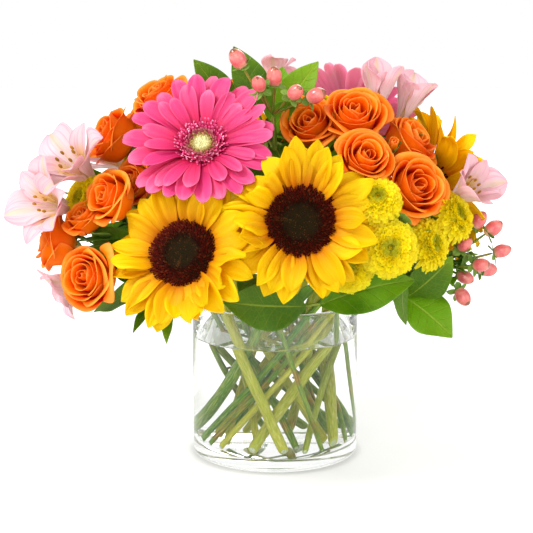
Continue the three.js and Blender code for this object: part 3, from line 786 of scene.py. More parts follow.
def buildSunflower(plant, number):
    kind = sunflower
    dice = random.Random(140 + number)
    seat = seatOf(plant["at"], plant["facing"], dice.uniform(0, 360))
    outward = heading(*plant["facing"])
    name = plant["name"]
    share = dice.random()

    bm = newShape()
    reach, calm = plant.get("reach", 0), plant.get("spread", 1)       # longer and calmer petals
    for ring in (kind["back"], kind["front"]):
        addRing(bm, seat, {
            **ring, "length": ring["length"] + reach, "rise": ring["rise"] + plant.get("open", 0),
            "curlSpread": ring["curlSpread"] * calm, "twistSpread": ring["twistSpread"] * calm,
        }, dice, share)
    pressBack(bm, gerberaSeat)
    makePiece(name + "_rays", bm, ["sunflowerGold"], [name + "_petals"], wall=0.5)

    bm = newShape()
    profile = [(0, 0.4), (22, 0.2), (26, 0.6)] + [(r, sunflowerHeight(r)) for r in (25, 21, 17, 13, 9, 5, 0)]
    addDome(bm, seat, profile, 40, (0.2, 0.2, share))
    tubes = [floretShape(5, 0.4, 0.68, 3.2, 0.25), floretShape(5, 0.62, 0.42, 1.7, 0.1)]
    for i in range(kind["florets"]):
        r = kind["discRadius"] * sqrt((i + 0.5) / kind["florets"])
        spot = Vector((r * cos(i * golden), r * sin(i * golden), sunflowerHeight(r) - 0.6))
        inner = r < kind["discRadius"] * 0.47
        lean = Vector((spot.x, spot.y, 0)) * (0.0 if inner else 0.02 + 0.05 * max(0, r / 25 - 0.75) / 0.25)
        lean += Vector((dice.uniform(-1, 1), dice.uniform(-1, 1), 0)) * 0.22
        turn = upward.rotation_difference((lean + upward).normalized()).to_matrix().to_4x4()
        size = dice.uniform(0.8, 1.15) * (0.85 if inner else 1)
        place = seat @ Matrix.Translation(spot) @ turn @ Matrix.Scale(size, 4)
        addStamp(bm, tubes[1 if inner else 0], place, (dice.random(), r / kind["discRadius"], share))
    makePiece(name + "_florets", bm, ["sunflowerSeed"], [name + "_disc"], smooth=0)

    bm = newShape()
    cupFoot = kind["cupTop"] - kind["calyx"] * 0.55
    end = Vector(plant["at"]) + outward * cupFoot
    points = stemCourse(plant["ring"], plant["neck"], end, outward, kind["stem"])
    points, radii = knotty(points, kind["stem"], dice, every=9, grow=0.06)
    tone = (kind["stemTone"][0] + dice.uniform(-0.25, 0.4), kind["stemTone"][1], share)
    addTube(bm, points, radii, 14, tone, cut=True)
    cup = [(0, cupFoot - 1), (4.4, cupFoot - 0.6), (8, -13.2), (14, -9.4), (20, -5.4), (23.4, -2.4),
           (21, -1.6), (0, -1.6)]
    addDome(bm, seat, cup, 32, (0.3, 0, share))
    makePiece(name + "_stalk", bm, ["stemGreen", "cutPith"], [name + "_stem"])
    bm = newShape()
    addRing(bm, seat, kind["bracts"], dice, share)
    lower = {"start": 0.5, "root": 11, "height": -10.5, "length": 19, "rise": 33}
    addRing(bm, seat, {**kind["bracts"], **lower}, dice, share)
    makePiece(name + "_bracts", bm, ["leafUnder"], [name + "_stem"], wall=0.7)


for number, plant in enumerate(sunflower["plants"]):
    buildSunflower(plant, number)
print("sunflowers:", len(sunflower["plants"]))


# Gerberas
gerbera = {
    "stem": 3, "calyx": 16, "cupTop": -1.9, "stemTone": (0.85, 0.05),
    "heart": {"florets": 110, "radius": 7.4},
    "outer": {
        "count": 25, "jitter": 0.22, "root": 12, "height": 0.2, "layer": 0, "lean": 9,
        "length": 43.5, "lengthSpread": 2, "width": 13.4, "widthSpread": 1.6, "rise": 22, "riseSpread": 6,
        "bend": -14, "bendSpread": 10, "curl": -4, "curlSpread": 12, "twist": 0, "twistSpread": 12,
        "cup": 0.12, "cupSpread": 0.2, "foldDepth": 0.6, "foldDepthSpread": 0.2, "folds": 2,
        "wave": 0.7, "waveSpread": 0.5, "swaySpread": 2.2, "rows": 10, "columns": 8,
        "outline": [(0, 0.3), (0.25, 0.62), (0.55, 0.95), (0.78, 1.0), (0.92, 0.8), (0.98, 0.5), (1, 0.26)],
    },
    "inner": {
        "count": 20, "jitter": 0.35, "root": 12, "height": 1.6, "layer": 1, "lean": 12,
        "length": 33, "lengthSpread": 4.5, "width": 11, "widthSpread": 1.8, "rise": 30, "riseSpread": 6,
        "bend": -20, "bendSpread": 12, "curl": 0, "curlSpread": 14, "twist": 0, "twistSpread": 16,
        "cup": 0.1, "cupSpread": 0.25, "foldDepth": 0.5, "foldDepthSpread": 0.2, "folds": 2,
        "wave": 0.6, "waveSpread": 0.5, "swaySpread": 2.6, "rows": 9, "columns": 8,
        "outline": [(0, 0.3), (0.25, 0.6), (0.55, 0.93), (0.78, 1.0), (0.92, 0.78), (0.98, 0.46), (1, 0.22)],
    },
    # root radius, height, how many, length, rise, layer share
    "crown": [
        (15.4, 2.8, 60, 6.0, 44, 0.74), (13.6, 3.6, 58, 5.6, 56, 0.7), (11.8, 4.0, 52, 5.0, 66, 0.66),
        (10.1, 4.3, 44, 4.0, 76, 0.42), (8.5, 4.4, 34, 2.8, 84, 0.3),
    ],
    "bracts": {
        "count": 20, "jitter": 0.2, "root": 9, "height": -6, "layer": 0.3, "lean": 5,
        "length": 12, "lengthSpread": 1.5, "width": 4.2, "widthSpread": 0.4, "rise": 50, "riseSpread": 6,
        "bend": -36, "bendSpread": 8, "cup": 0.25, "foldDepth": 0.1, "rows": 5, "columns": 3,
        "outline": [(0, 0.9), (0.3, 1.0), (0.7, 0.6), (1, 0.05)],
    },
    "plants": [
        {"name": "gerbera_front", "at": gerberaSeat["at"], "facing": gerberaSeat["facing"], "ring": "inner",
         "neck": -38, "look": "gerberaPink", "slot": "gerbera_petal"},
        {"name": "gerbera_back", "at": (58, 52, 252), "facing": (150, 44), "ring": "inner", "neck": 145,
         "look": "gerberaPale", "slot": "pale_gerbera_petal"},
    ],
}
crownPetal = {
    "lengthSpread": 0.8, "width": 1.7, "widthSpread": 0.3, "riseSpread": 14, "bend": 20,
    "bendSpread": 30, "curl": -30, "curlSpread": 50, "twistSpread": 30, "cup": 0.5, "rows": 4, "columns": 2,
    "outline": [(0, 0.7), (0.5, 0.8), (0.85, 1.0), (1, 0.5)],
}


def buildGerbera(plant, number):
    kind = gerbera
    dice = random.Random(200 + number)
    seat = seatOf(plant["at"], plant["facing"], dice.uniform(0, 360))
    outward = heading(*plant["facing"])
    name = plant["name"]
    share = dice.random()

    bm = newShape()
    addRing(bm, seat, kind["outer"], dice, share)
    addRing(bm, seat, kind["inner"], dice, share)
    makePiece(name + "_rays", bm, [plant["look"]], [name + "_petals"], wall=0.5)

    bm = newShape()
    profile = [(0, 0.4), (13, 0.4), (15.5, 1.2), (13, 3.0), (9.5, 4.2), (6.5, 4.4), (3, 4.0), (0, 3.8)]
    addDome(bm, seat, profile, 32, (0.4, 0.55, share))
    for root, height, count, length, rise, layer in kind["crown"]:
        ring = {**crownPetal, "length": length, "rise": rise, "start": dice.random()}
        for i in range(count):
            spin = (i + dice.uniform(-0.4, 0.4)) / count * tau
            place = seat @ Matrix.Rotation(spin, 4, "Z") @ Matrix.Translation((root, 0, height - 0.8))
            addBlade(bm, place, ring, (dice.random(), layer, share), dice)
    layer = bm.verts.layers.float_vector["tone"]
    inverse = seat.inverted()
    for vert in bm.verts:       # the florets pale towards their tips
        tip = max(0.0, (inverse @ vert.co).z - 6.0) * 0.11
        if vert[layer][1] > 0.6:
            vert[layer] = (vert[layer][0], min(vert[layer][1] + tip, 1), vert[layer][2])
    heart = floretShape(6, 0.75, 0.5, 1.8, 0.1)
    florets, radius = kind["heart"]["florets"], kind["heart"]["radius"]
    for i in range(florets):
        r = radius * sqrt((i + 0.5) / florets)
        spot = Vector((r * cos(i * golden), r * sin(i * golden), 3.7 + 0.06 * r))
        place = seat @ Matrix.Translation(spot) @ Matrix.Scale(dice.uniform(0.85, 1.15), 4)
        addStamp(bm, heart, place, (dice.random(), 0.3 * r / radius, share))
    makePiece(name + "_crown", bm, ["gerberaCrown"], [name + "_disc"], wall=0.35, smooth=0)

    bm = newShape()
    cupFoot = kind["cupTop"] - kind["calyx"] * 0.55
    end = Vector(plant["at"]) + outward * cupFoot
    points = stemCourse(plant["ring"], plant["neck"], end, outward, kind["stem"])
    points, radii = knotty(points, kind["stem"], dice, every=11, grow=0.03)
    addTube(bm, points, radii, 12, (kind["stemTone"][0], 0, share), cut=True)
    cup = [(0, cupFoot - 1), (3.3, cupFoot - 0.6), (6, -9), (10.5, -6), (14.5, -2.6), (12, -1.6), (0, -1.6)]
    addDome(bm, seat, cup, 28, (0.35, 0, share))
    makePiece(name + "_stalk", bm, ["stemGreen", "cutPith"], [name + "_stem"])
    bm = newShape()
    addRing(bm, seat, kind["bracts"], dice, share)
    addRing(bm, seat, {**kind["bracts"], "start": 0.5, "root": 6.5, "height": -8.4, "length": 9}, dice, share)
    makePiece(name + "_bracts", bm, ["leafUnder"], [name + "_stem"], wall=0.5)


for number, plant in enumerate(gerbera["plants"]):
    buildGerbera(plant, number)
print("gerberas:", len(gerbera["plants"]))


# Spray roses
rose = {
    "radius": 18, "height": 25, "stem": 2.6, "branch": 1.6, "petals": 17, "swell": 1.2,
    "stemTone": (0.3, 0.35),
    "sepal": {
        "count": 5, "jitter": 0.1, "root": 2.5, "height": 0.6, "lean": 5, "length": 13, "lengthSpread": 2,
        "width": 5, "widthSpread": 0.6, "rise": -5, "riseSpread": 20, "bend": 10, "bendSpread": 50,
        "curlSpread": 40, "twistSpread": 20, "cup": 0.25, "foldDepth": 0, "rows": 6, "columns": 2,
        "outline": [(0, 0.7), (0.25, 1.0), (0.6, 0.55), (0.85, 0.2), (1, 0.05)],
    },
    "sprays": [
        {"name": "rose_left", "fork": (-92, -42, 165), "ring": "outer", "neck": -94, "blooms": [
            ((-132, -80, 152), (-34, 12), 1.05), ((-160, -42, 171), (-84, 14), 1),
            ((-138, -56, 190), (-50, 52), 0.72), ((-117, -64, 207), (-52, 26), 0.95)]},
        {"name": "rose_upper", "fork": (-66, -6, 215), "ring": "inner", "neck": -85, "blooms": [
            ((-84, -4, 272), (-62, 58), 1.05), ((-104, 8, 252), (-84, 44), 0.8),
            ((-120, -14, 245), (-74, 30), 1.02), ((-102, -30, 214), (-48, 12), 0.8)]},
        {"name": "rose_right", "fork": (52, -34, 200), "ring": "inner", "neck": 58, "blooms": [
            ((26, -38, 256), (-14, 42), 0.98), ((57, -44, 262), (6, 52), 1.12),
            ((62, -76, 236), (16, 36), 0.95), ((98, -68, 214), (30, 26), 1.15),
            ((98, -28, 242), (70, 44), 1.05)],
         "bud": ((84, -54, 243), (20, 50))},
        {"name": "rose_back", "fork": (-58, 58, 190), "ring": "outer", "neck": -166, "joined": True,
         "blooms": [
            ((-84, 80, 212), (-130, 26), 1.05), ((-58, 60, 246), (-150, 58), 1),
            ((-108, 46, 196), (-108, 18), 0.95), ((-68, 28, 262), (-110, 64), 0.9),
            ((-27, 40, 270), (-170, 74), 1)]},
    ],
}
# Profiles of an inner, a middle and an outer petal, in shares of the bloom's radius and half height.
rosePetal = {
    "rows": 8, "columns": 8, "wall": 0.45,
    "radius": [
        [(0, 0.03), (0.3, 0.14), (0.6, 0.16), (0.85, 0.10), (1, 0.07)],
        [(0, 0.06), (0.3, 0.46), (0.6, 0.56), (0.85, 0.56), (1, 0.62)],
        [(0, 0.08), (0.3, 0.66), (0.6, 0.82), (0.85, 0.93), (1, 1.07)],
    ],
    "height": [
        [(0, -0.6), (0.3, -0.2), (0.6, 0.25), (0.85, 0.6), (1, 0.74)],
        [(0, -0.9), (0.3, -0.55), (0.6, 0.1), (0.85, 0.68), (1, 0.88)],
        [(0, -0.98), (0.3, -0.72), (0.6, -0.15), (0.85, 0.34), (1, 0.42)],
    ],
}


def blend3(lines, t, share):
    low, mid, high = (through(line, share) for line in lines)
    return low + (mid - low) * t * 2 if t < 0.5 else mid + (high - mid) * (t * 2 - 1)


def addRosePetal(bm, seat, size, t, spin, dice, openness):
    rows, columns = rosePetal["rows"], rosePetal["columns"]
    radius, half = rose["radius"] * size, rose["height"] * size / 2
    spread = radians(136 - 70 * t ** 0.55 + dice.uniform(-12, 12))
    overlap = dice.uniform(0.08, 0.16) * dice.choice((1, 1, -1))
    wave, phase = dice.uniform(0.5, 1.5), dice.uniform(0, tau)
    reflex, peak = dice.uniform(0.5, 2.0) * max(0, t - 0.22), dice.uniform(0.0, 2.2)
    lower = dice.uniform(-0.12, 0.1) - 0.14 * max(0, t - 0.6)
    tone = (dice.random(), 1 - t, dice.random())
    layer = bm.verts.layers.float_vector["tone"]
    grid = bmesh.ops.create_grid(bm, x_segments=columns, y_segments=rows, size=1, calc_uvs=True)["verts"]
    for vert in grid:
        across, share = vert.co.x, (vert.co.y + 1) / 2
        far = share * (1 - 0.17 * abs(across) ** 3)
        r = radius * blend3(rosePetal["radius"], t, far)
        z = half * (blend3(rosePetal["height"], t, far) + lower * far)
        wide = through([(0, 0.45), (0.3, 0.8), (0.65, 1.0), (0.9, 0.93), (1, 0.75)], share)
        angle = spin + across * spread * wide
        r *= 1 + overlap * across * (1 - 0.5 * t)
        lip = max(0, share - 0.72) / 0.28
        rolled = reflex * lip * lip * (0.35 + across * across)
        r += radius * 0.16 * rolled * openness
        z -= radius * 0.13 * rolled * openness
        z += wave * lip * sin(across * 4.2 + phase) + peak * lip ** 3 * max(0, 1 - abs(across) * 3) * t
        r += wave * 0.7 * share * sin(across * 3.1 + phase * 1.7) * (0.6 + 0.4 * t)
        vert.co = seat @ Vector((r * cos(angle), r * sin(angle), z))
        vert[layer] = tone


def addRose(bm, at, facing, size, dice, closed=1.0):
    seat = seatOf(at, facing, dice.uniform(0, 360))
    nod, lean = radians(dice.uniform(-5, 5)), radians(dice.uniform(-5, 5))
    tilt = Matrix.Rotation(nod, 4, "X") @ Matrix.Rotation(lean, 4, "Y")
    for i in range(rose["petals"]):
        t = i / (rose["petals"] - 1) * closed
        spin = i * golden + dice.uniform(-0.15, 0.15)
        heart = tilt if t < 0.45 else Matrix.Identity(4)
        addRosePetal(bm, seat @ heart, size * rose["swell"], t ** 0.85, spin, dice, dice.uniform(0.6, 1.4))


def addSpray(bm, spray, kind, height, dice, tone):     # one stem to the fork, then a branch to each bloom
    fork = Vector(spray["fork"])
    rise = sprayRise(spray["ring"], spray["neck"], fork)
    points = stemCourse(spray["ring"], spray["neck"], fork + rise, rise, kind["stem"])
    points, radii = knotty(points, kind["stem"], dice)
    addTube(bm, points, radii, 10, tone, cut=True)
    addStubs(bm, points, kind["stem"], dice, tone)
    courses = [aboveNeck(points)]
    seats = []
    for at, facing, size in spray["blooms"]:
        outward = heading(*facing)
        seat = Vector(at) - outward * (height / 2 * size + 0.3)
        points = branchCourse(fork, seat - outward * 3.2, outward)
        points, radii = knotty(points, kind["branch"], dice, every=4, wobble=0.15)
        addTube(bm, points, radii, 8, tone)
        courses.append(points[1:-2])
        seats.append((seat, facing, size))
    return seats, courses


# Leaves that the cut stems keep between the blooms
foliage = {
    "rows": 8, "columns": 4, "length": 34, "lengthSpread": 7, "slim": 0.52, "onStem": 8,
    "faceReach": 62, "faceGap": 13,
    "low": (-168, -114, 136), "high": (152, 114, 266),      # the tips stay inside these corners
    "outline": [(0, 0.04), (0.08, 0.36), (0.22, 0.78), (0.42, 1.0), (0.62, 0.9), (0.8, 0.58), (0.92, 0.26),
                (1, 0.02)],
}


def addLeaf(bm, base, tip, width, face, droop, dice, rows, columns):
    base, tip = Vector(base), Vector(tip)
    along = (tip - base).normalized()
    place = frameOn(base, along, face)
    length = (tip - base).length
    fold, phase = dice.uniform(0.14, 0.26), dice.uniform(0, tau)
    wave = dice.uniform(0.5, 1.1) * max(1, width / 18)
    sway = dice.uniform(-0.03, 0.03) * length
    tone = (dice.random(), 0, dice.random())
    layer = bm.verts.layers.float_vector["tone"]
    grid = bmesh.ops.create_grid(bm, x_segments=columns, y_segments=rows, size=1, calc_uvs=True)["verts"]
    for vert in grid:
        across, share = -vert.co.x, (vert.co.y + 1) / 2
        half = width / 2 * through(foliage["outline"], share)
        rise = 4 * droop * share * (1 - share) + fold * half * abs(across) ** 1.4 - 0.3 * fold * half
        swing = sin(share * 11 + phase + (1.7 if across > 0 else 0))
        rise += wave * across * across * swing * sin(pi * share)
        rise += 0.35 * cos((share - abs(across) * 0.2) * 7 * tau) * min(1, abs(across) * 2) * sin(pi * share)
        side = across * half + sway * sin(pi * share)
        vert.co = place @ Vector((length * share, side, rise))
        vert[layer] = tone
    return place @ Vector((length * 0.06, 0, 4 * droop * 0.06 * 0.94))


def clearOfFaces(spot):      # a leaf stays behind the sunflowers and gerberas
    for plant in sunflower["plants"] + gerbera["plants"]:
        offset = spot - Vector(plant["at"])
        depth = offset.dot(heading(*plant["facing"]))
        aside = (offset - heading(*plant["facing"]) * depth).length
        if aside < foliage["faceReach"] and depth > -foliage["faceGap"]:
            return False
    return True


def addFoliage(name, courses, nodes, dice, scale=1.0, onBranch=4):
    bm = newShape()
    for k, course in enumerate(courses):
        for at in dice.sample(course, min(onBranch if k else foliage["onStem"], len(course))):
            bearing = degrees(atan2(at.x, -at.y)) + dice.uniform(-75, 75)
            out = heading(bearing, dice.uniform(-12, 50))
            length = (foliage["length"] + dice.uniform(-1, 1) * foliage["lengthSpread"]) * scale
            tip = at + out * length
            inside = all(low < part < high for low, part, high in zip(foliage["low"], tip, foliage["high"]))
            if inside and all(clearOfFaces(at.lerp(tip, part)) for part in (0.35, 0.7, 1)):
                face = (upward + out * dice.uniform(-0.2, 0.9)).normalized()
                addLeaf(bm, at, tip, length * foliage["slim"], face, dice.uniform(1, 4), dice,
                        foliage["rows"], foliage["columns"])
    makePiece(name + "_foliage", bm, ["leafGloss", "leafUnder"], nodes, wall=0.4)


def buildRoses(spray, number):
    dice = random.Random(300 + number)
    name = spray["name"]
    joined = spray.get("joined")
    tone = (rose["stemTone"][0] + dice.uniform(-0.2, 0.3), rose["stemTone"][1], dice.random())
    bm = newShape()
    seats, courses = addSpray(bm, spray, rose, rose["height"], dice, tone)
    for seat, facing, size in seats:
        hip = [(0, -5.2), (1.6, -5), (3.4, -3.6), (4.2, -1.6), (3.8, -0.1), (0, 0)]
        place = seatOf(seat, facing)
        addDome(bm, place @ Matrix.Scale(size, 4), hip, 12, (0.25, 0, 0.5))
    stemNode = name if joined else name + "_stem"
    addFoliage(name, courses, [stemNode], dice)
    if "bud" in spray:
        at, facing = spray["bud"]
        outward = heading(*facing)
        fork = Vector(spray["fork"])
        points = branchCourse(fork, Vector(at) - outward * 8, outward)
        points, radii = knotty(points, rose["branch"] * 0.8, dice, every=4, wobble=0.15)
        addTube(bm, points, radii, 8, tone)
        hip = [(0, -10), (1.4, -9.6), (3, -8.2), (3.4, -6.6), (2.8, -5.4), (0, -5.2)]
        addDome(bm, seatOf(at, facing), hip, 12, (0.25, 0, 0.5))
        small = newShape()
        budSeat = seatOf(at, facing)
        for i in range(7):
            addRosePetal(small, budSeat, 0.62, 0.02 + i * 0.035, i * golden, dice, 0.2)
        makePiece(name + "_bud", small, ["roseOutside", "roseInside"], [stemNode], wall=0.4)
        leafy = newShape()
        ring = {**rose["sepal"], "height": -6, "rise": 62, "riseSpread": 6, "bend": 30, "bendSpread": 12,
                "curl": -20, "curlSpread": 10, "length": 11, "width": 4.6}
        addRing(leafy, budSeat, ring, dice)
        makePiece(name + "_bud_sepals", leafy, ["leafUnder"], [stemNode], wall=0.5)
    makePiece(name + "_stalks", bm, ["stemGreen", "cutPith"], [stemNode])
    bm = newShape()
    for seat, facing, size in seats:
        addRing(bm, seatOf(seat, facing, dice.uniform(0, 360)) @ Matrix.Scale(size, 4), rose["sepal"], dice)
    makePiece(name + "_sepals", bm, ["leafUnder"], [stemNode], wall=0.5)
    if joined:
        bm = newShape()
        for at, facing, size in spray["blooms"]:
            addRose(bm, at, facing, size, dice)
        makePiece(name + "_blooms", bm, ["roseOutside", "roseInside"], [name],
                  wall=rosePetal["wall"])
        return
    for k, (at, facing, size) in enumerate(spray["blooms"]):
        bm = newShape()
        addRose(bm, at, facing, size, dice)
        node = name + "_" + str(k + 1)
        makePiece(node + "_bloom", bm, ["roseOutside", "roseInside"], [node],
                  wall=rosePetal["wall"])


for number, spray in enumerate(rose["sprays"]):
    buildRoses(spray, number)
print("rose sprays:", len(rose["sprays"]))


# Button chrysanthemums
mum = {
    "height": 17, "stem": 2.4, "branch": 1.5, "petals": 330, "swell": 1.05, "lift": (62, 34),
    "bow": (20, 34), "stemTone": (0.3, 0.1),
    # how far out and how high the petal tips lie, from the heart to the rim
    "tipRadius": [(0, 0.8), (0.08, 3.8), (0.2, 7.4), (0.45, 12.4), (0.75, 16.6), (1, 17.4)],
    "tipHeight": [(0, 5.6), (0.08, 6.8), (0.2, 8.8), (0.45, 7.4), (0.75, 2.6), (1, -5.4)],
    "petal": {
        "width": 3.4, "widthSpread": 0.3, "bendSpread": 10, "curl": 22, "curlSpread": 14,
        "cup": 0.5, "cupSpread": 0.15, "twistSpread": 10, "rows": 4, "columns": 2,
        "outline": [(0, 0.6), (0.4, 0.85), (0.75, 1.0), (1, 0.6)],
    },
    "sprays": [
        {"name": "mum_right", "fork": (66, -46, 160), "ring": "outer", "neck": 24, "blooms": [
            ((70, -92, 209), (8, 40), 1), ((79, -97, 176), (8, 14), 1.12), ((52, -84, 160), (-10, 0), 1),
            ((108, -72, 174), (52, 14), 1.05), ((127, -56, 192), (56, 26), 1.05)]},
        {"name": "mum_left", "fork": (-100, -20, 170), "ring": "outer", "neck": -118, "joined": True,
         "blooms": [
            ((-138, -37, 201), (-50, 24), 1.05), ((-101, -10, 229), (-74, 30), 0.95)]},
        {"name": "mum_back", "fork": (62, 62, 170), "ring": "outer", "neck": 128, "joined": True, "blooms": [
            ((74, 88, 192), (142, 20), 1.1), ((98, 62, 186), (118, 16), 1.05),
            ((42, 98, 176), (160, 6), 1.05), ((74, 78, 150), (140, -6), 0.9)]},
        {"name": "mum_top", "fork": (8, 8, 232), "ring": "inner", "neck": 120, "joined": True, "blooms": [
            ((-24, 10, 266), (-80, 76), 0.9), ((8, 26, 270), (180, 78), 1), ((34, 8, 266), (90, 76), 0.9)]},
    ],
}


def addMum(bm, at, facing, size, dice):
    seat = seatOf(at, facing, dice.uniform(0, 360)) @ Matrix.Scale(size * mum["swell"], 4)
    core = [(0, -7.6), (7, -7.4), (12.6, -5.4), (14.6, -1), (12.6, 3.4), (8, 5.9), (4, 5.6), (0, 4)]
    addDome(bm, seat, core, 24, (0.5, 0.3, 0.4), material=1)
    count = mum["petals"]
    for i in range(count):
        share = (i + 0.5) / count
        r, z = through(mum["tipRadius"], share), through(mum["tipHeight"], share)
        before, after = max(share - 0.02, 0), min(share + 0.02, 1)
        fall = [through(mum[key], after) - through(mum[key], before) for key in ("tipHeight", "tipRadius")]
        closed = 1 - min(1, share * 3)
        lift = mum["lift"][1] + (mum["lift"][0] - mum["lift"][1]) * closed + dice.uniform(-8, 8)
        slant = radians(degrees(atan2(*fall)) + lift)       # each petal lies on the one outside it
        length = 8.5 - 4.5 * closed
        root = Vector((r - cos(slant) * length, 0, z - sin(slant) * length))
        bend = dice.uniform(*mum["bow"])
        petal = {**mum["petal"], "length": length * dice.uniform(0.96, 1.12), "bend": bend,
                 "rise": degrees(slant) - bend * 0.5, "width": mum["petal"]["width"] * (1 - 0.35 * closed)}
        spin = Matrix.Rotation(i * golden + dice.uniform(-0.06, 0.06), 4, "Z")
        place = seat @ spin @ Matrix.Translation(root)
        place = place @ Matrix.Rotation(radians(dice.uniform(-5, 5)), 4, "X")
        addBlade(bm, place, petal, (dice.random(), share, dice.random()), dice)


def buildMums(spray, number):
    dice = random.Random(400 + number)
    name = spray["name"]
    joined = spray.get("joined")
    tone = (mum["stemTone"][0] + dice.uniform(-0.2, 0.3), mum["stemTone"][1], dice.random())
    bm = newShape()
    seats, courses = addSpray(bm, spray, mum, mum["height"], dice, tone)
    for seat, facing, size in seats:
        cup = [(0, -4.6), (1.5, -4.5), (4, -2.4), (6.4, 0.4), (5.5, 1.6), (0, 1.6)]
        addDome(bm, seatOf(seat, facing) @ Matrix.Scale(size, 4), cup, 14, (0.2, 0, 0.5))
    stemNode = name if joined else name + "_stem"
    addFoliage(name, courses, [stemNode], dice, 0.9)
    makePiece(name + "_stalks", bm, ["stemGreen", "cutPith"], [stemNode])
    looks = ["mumYellow", "mumHeart"]
    if joined:
        bm = newShape()
        for at, facing, size in spray["blooms"]:
            addMum(bm, at, facing, size, dice)
        makePiece(name + "_blooms", bm, looks, [name], smooth=0)
        return
    for k, (at, facing, size) in enumerate(spray["blooms"]):
        bm = newShape()
        addMum(bm, at, facing, size, dice)
        node = name + "_" + str(k + 1)
        makePiece(node + "_bloom", bm, looks, [node], smooth=0)


for number, spray in enumerate(mum["sprays"]):
    buildMums(spray, number)
print("chrysanthemum sprays:", len(mum["sprays"]))


# Alstroemeria
lily = {
    "length": 36, "throat": 17.5, "stem": 2.4, "branch": 1.5, "swell": 1.28, "stemTone": (0.75, 0.1),
    "broad": {
        "count": 3, "jitter": 0.06, "root": 1.6, "height": -17.5, "layer": 1, "lean": 6,
        "length": 40, "lengthSpread": 1.5, "width": 21, "widthSpread": 1.5, "rise": 80, "riseSpread": 3,
        "bend": -34, "bendSpread": 6, "curl": -36, "curlSpread": 20, "twistSpread": 8, "cup": 0.32,
        "cupSpread": 0.1, "foldDepth": -0.3, "folds": 1, "wave": 1.9, "waveSpread": 0.7, "waves": 2.6,
        "swaySpread": 1.5, "rows": 12, "columns": 6,
        "outline": [(0, 0.14), (0.2, 0.24), (0.45, 0.6), (0.7, 0.98), (0.86, 0.95), (0.96, 0.5), (1, 0.12)],
    },
    "slim": {
        "count": 3, "start": 0.5, "jitter": 0.06, "root": 1.2, "height": -17, "layer": 0, "lean": 6,
        "length": 38, "lengthSpread": 1.5, "width": 13, "widthSpread": 1, "rise": 82, "riseSpread": 3,
        "bend": -28, "bendSpread": 6, "curl": -40, "curlSpread": 18, "twistSpread": 8, "cup": 0.4,
        "cupSpread": 0.1, "foldDepth": -0.2, "folds": 1, "wave": 0.6, "waveSpread": 0.3, "waves": 1.4,
        "swaySpread": 1.2, "rows": 10, "columns": 5,
        "outline": [(0, 0.2), (0.3, 0.34), (0.55, 0.75), (0.75, 1.0), (0.9, 0.68), (0.97, 0.3), (1, 0.06)],
    },
    "sprays": [
        {"name": "alstroemeria_left", "fork": (-92, 2, 175), "ring": "inner", "neck": -130, "blooms": [
            ((-159, -44, 198), (-38, 16), 1.1), ((-142, -34, 222), (-46, 40), 1.15),
            ((-150, -22, 140), (-76, -34), 0.85), ((-118, 28, 222), (-106, 36), 1)]},
        {"name": "alstroemeria_top", "fork": (64, -2, 215), "ring": "inner", "neck": 96,
         "shape": {"bend": -14, "curl": -8}, "blooms": [
            ((76, -6, 272), (20, 78), 0.9), ((98, 2, 264), (70, 66), 0.9)]},
        {"name": "alstroemeria_right", "fork": (92, -16, 172), "ring": "outer", "neck": 52,
         "shape": {"bend": -24, "curl": -14}, "blooms": [((135, -41, 206), (44, 34), 0.95)]},
        {"name": "alstroemeria_back", "fork": (18, 62, 215), "ring": "inner", "neck": 185, "blooms": [
            ((18, 84, 260), (176, 52), 1), ((-2, 62, 281), (200, 74), 0.68)]},
    ],
}


def buildLilies(spray, number):
    dice = random.Random(500 + number)
    name = spray["name"]
    bm = newShape()
    seats, courses = addSpray(bm, spray, lily, lily["length"], dice, (*lily["stemTone"], dice.random()))
    addFoliage(name, courses, [name], dice, 1.1)
    for seat, facing, size in seats:
        knob = [(0, -4.4), (1.6, -4.2), (2.8, -2.2), (2.9, -0.4), (2.0, 0.8), (0, 1.0)]
        addDome(bm, seatOf(seat, facing) @ Matrix.Scale(size, 4), knob, 12, (0.3, 0, 0.5))
    makePiece(name + "_stalks", bm, ["stemGreen", "cutPith"], [name])
    bm = newShape()
    def bloomSeat(at, facing, size, roll):      # the throat stays on its stalk, the petals reach further
        seat = seatOf(at, facing, roll) @ Matrix.Scale(size, 4)
        longer = Matrix.Translation((0, 0, lily["throat"] * (lily["swell"] - 1)))
        return seat @ longer @ Matrix.Scale(lily["swell"], 4)
    rolls = [dice.uniform(0, 360) for bloom in spray["blooms"]]
    for (at, facing, size), roll in zip(spray["blooms"], rolls):
        seat = bloomSeat(at, facing, size, roll)
        share = dice.random()
        addRing(bm, seat, {**lily["broad"], **spray.get("shape", {})}, dice, share)
        addRing(bm, seat, {**lily["slim"], **spray.get("shape", {})}, dice, share)
    makePiece(name + "_blooms", bm, ["alstroemeriaBlush"], [name], wall=0.4)
    bm = newShape()
    for (at, facing, size), roll in zip(spray["blooms"], rolls):
        seat = bloomSeat(at, facing, size, roll)
        for i in range(6):
            spin = Matrix.Rotation(i / 6 * tau + dice.uniform(-0.2, 0.2), 4, "Z")
            lean = dice.uniform(3.5, 6)
            line = [(0.6, 0, -14), (1.4, 0, -5), (lean * 0.7, 0, 3), (lean, 0, 8)]
            points = [seat @ spin @ p for p in curve(*map(Vector, line), 5)]
            addTube(bm, points, [0.35 * size] * len(points), 6, (0.5, 0.4, 0.5))
            anther = bmesh.ops.create_icosphere(bm, subdivisions=1, radius=1.0)["verts"]
            place = seat @ spin @ Matrix.Translation((lean, 0, 9)) @ Matrix.Diagonal((1.0, 1.0, 2.0, 1))
            bmesh.ops.transform(bm, matrix=place, verts=anther)
            paint(bm, anther, (dice.random(), 1, 0.5))
    makePiece(name + "_stamens", bm, ["stamenMustard"], [name])


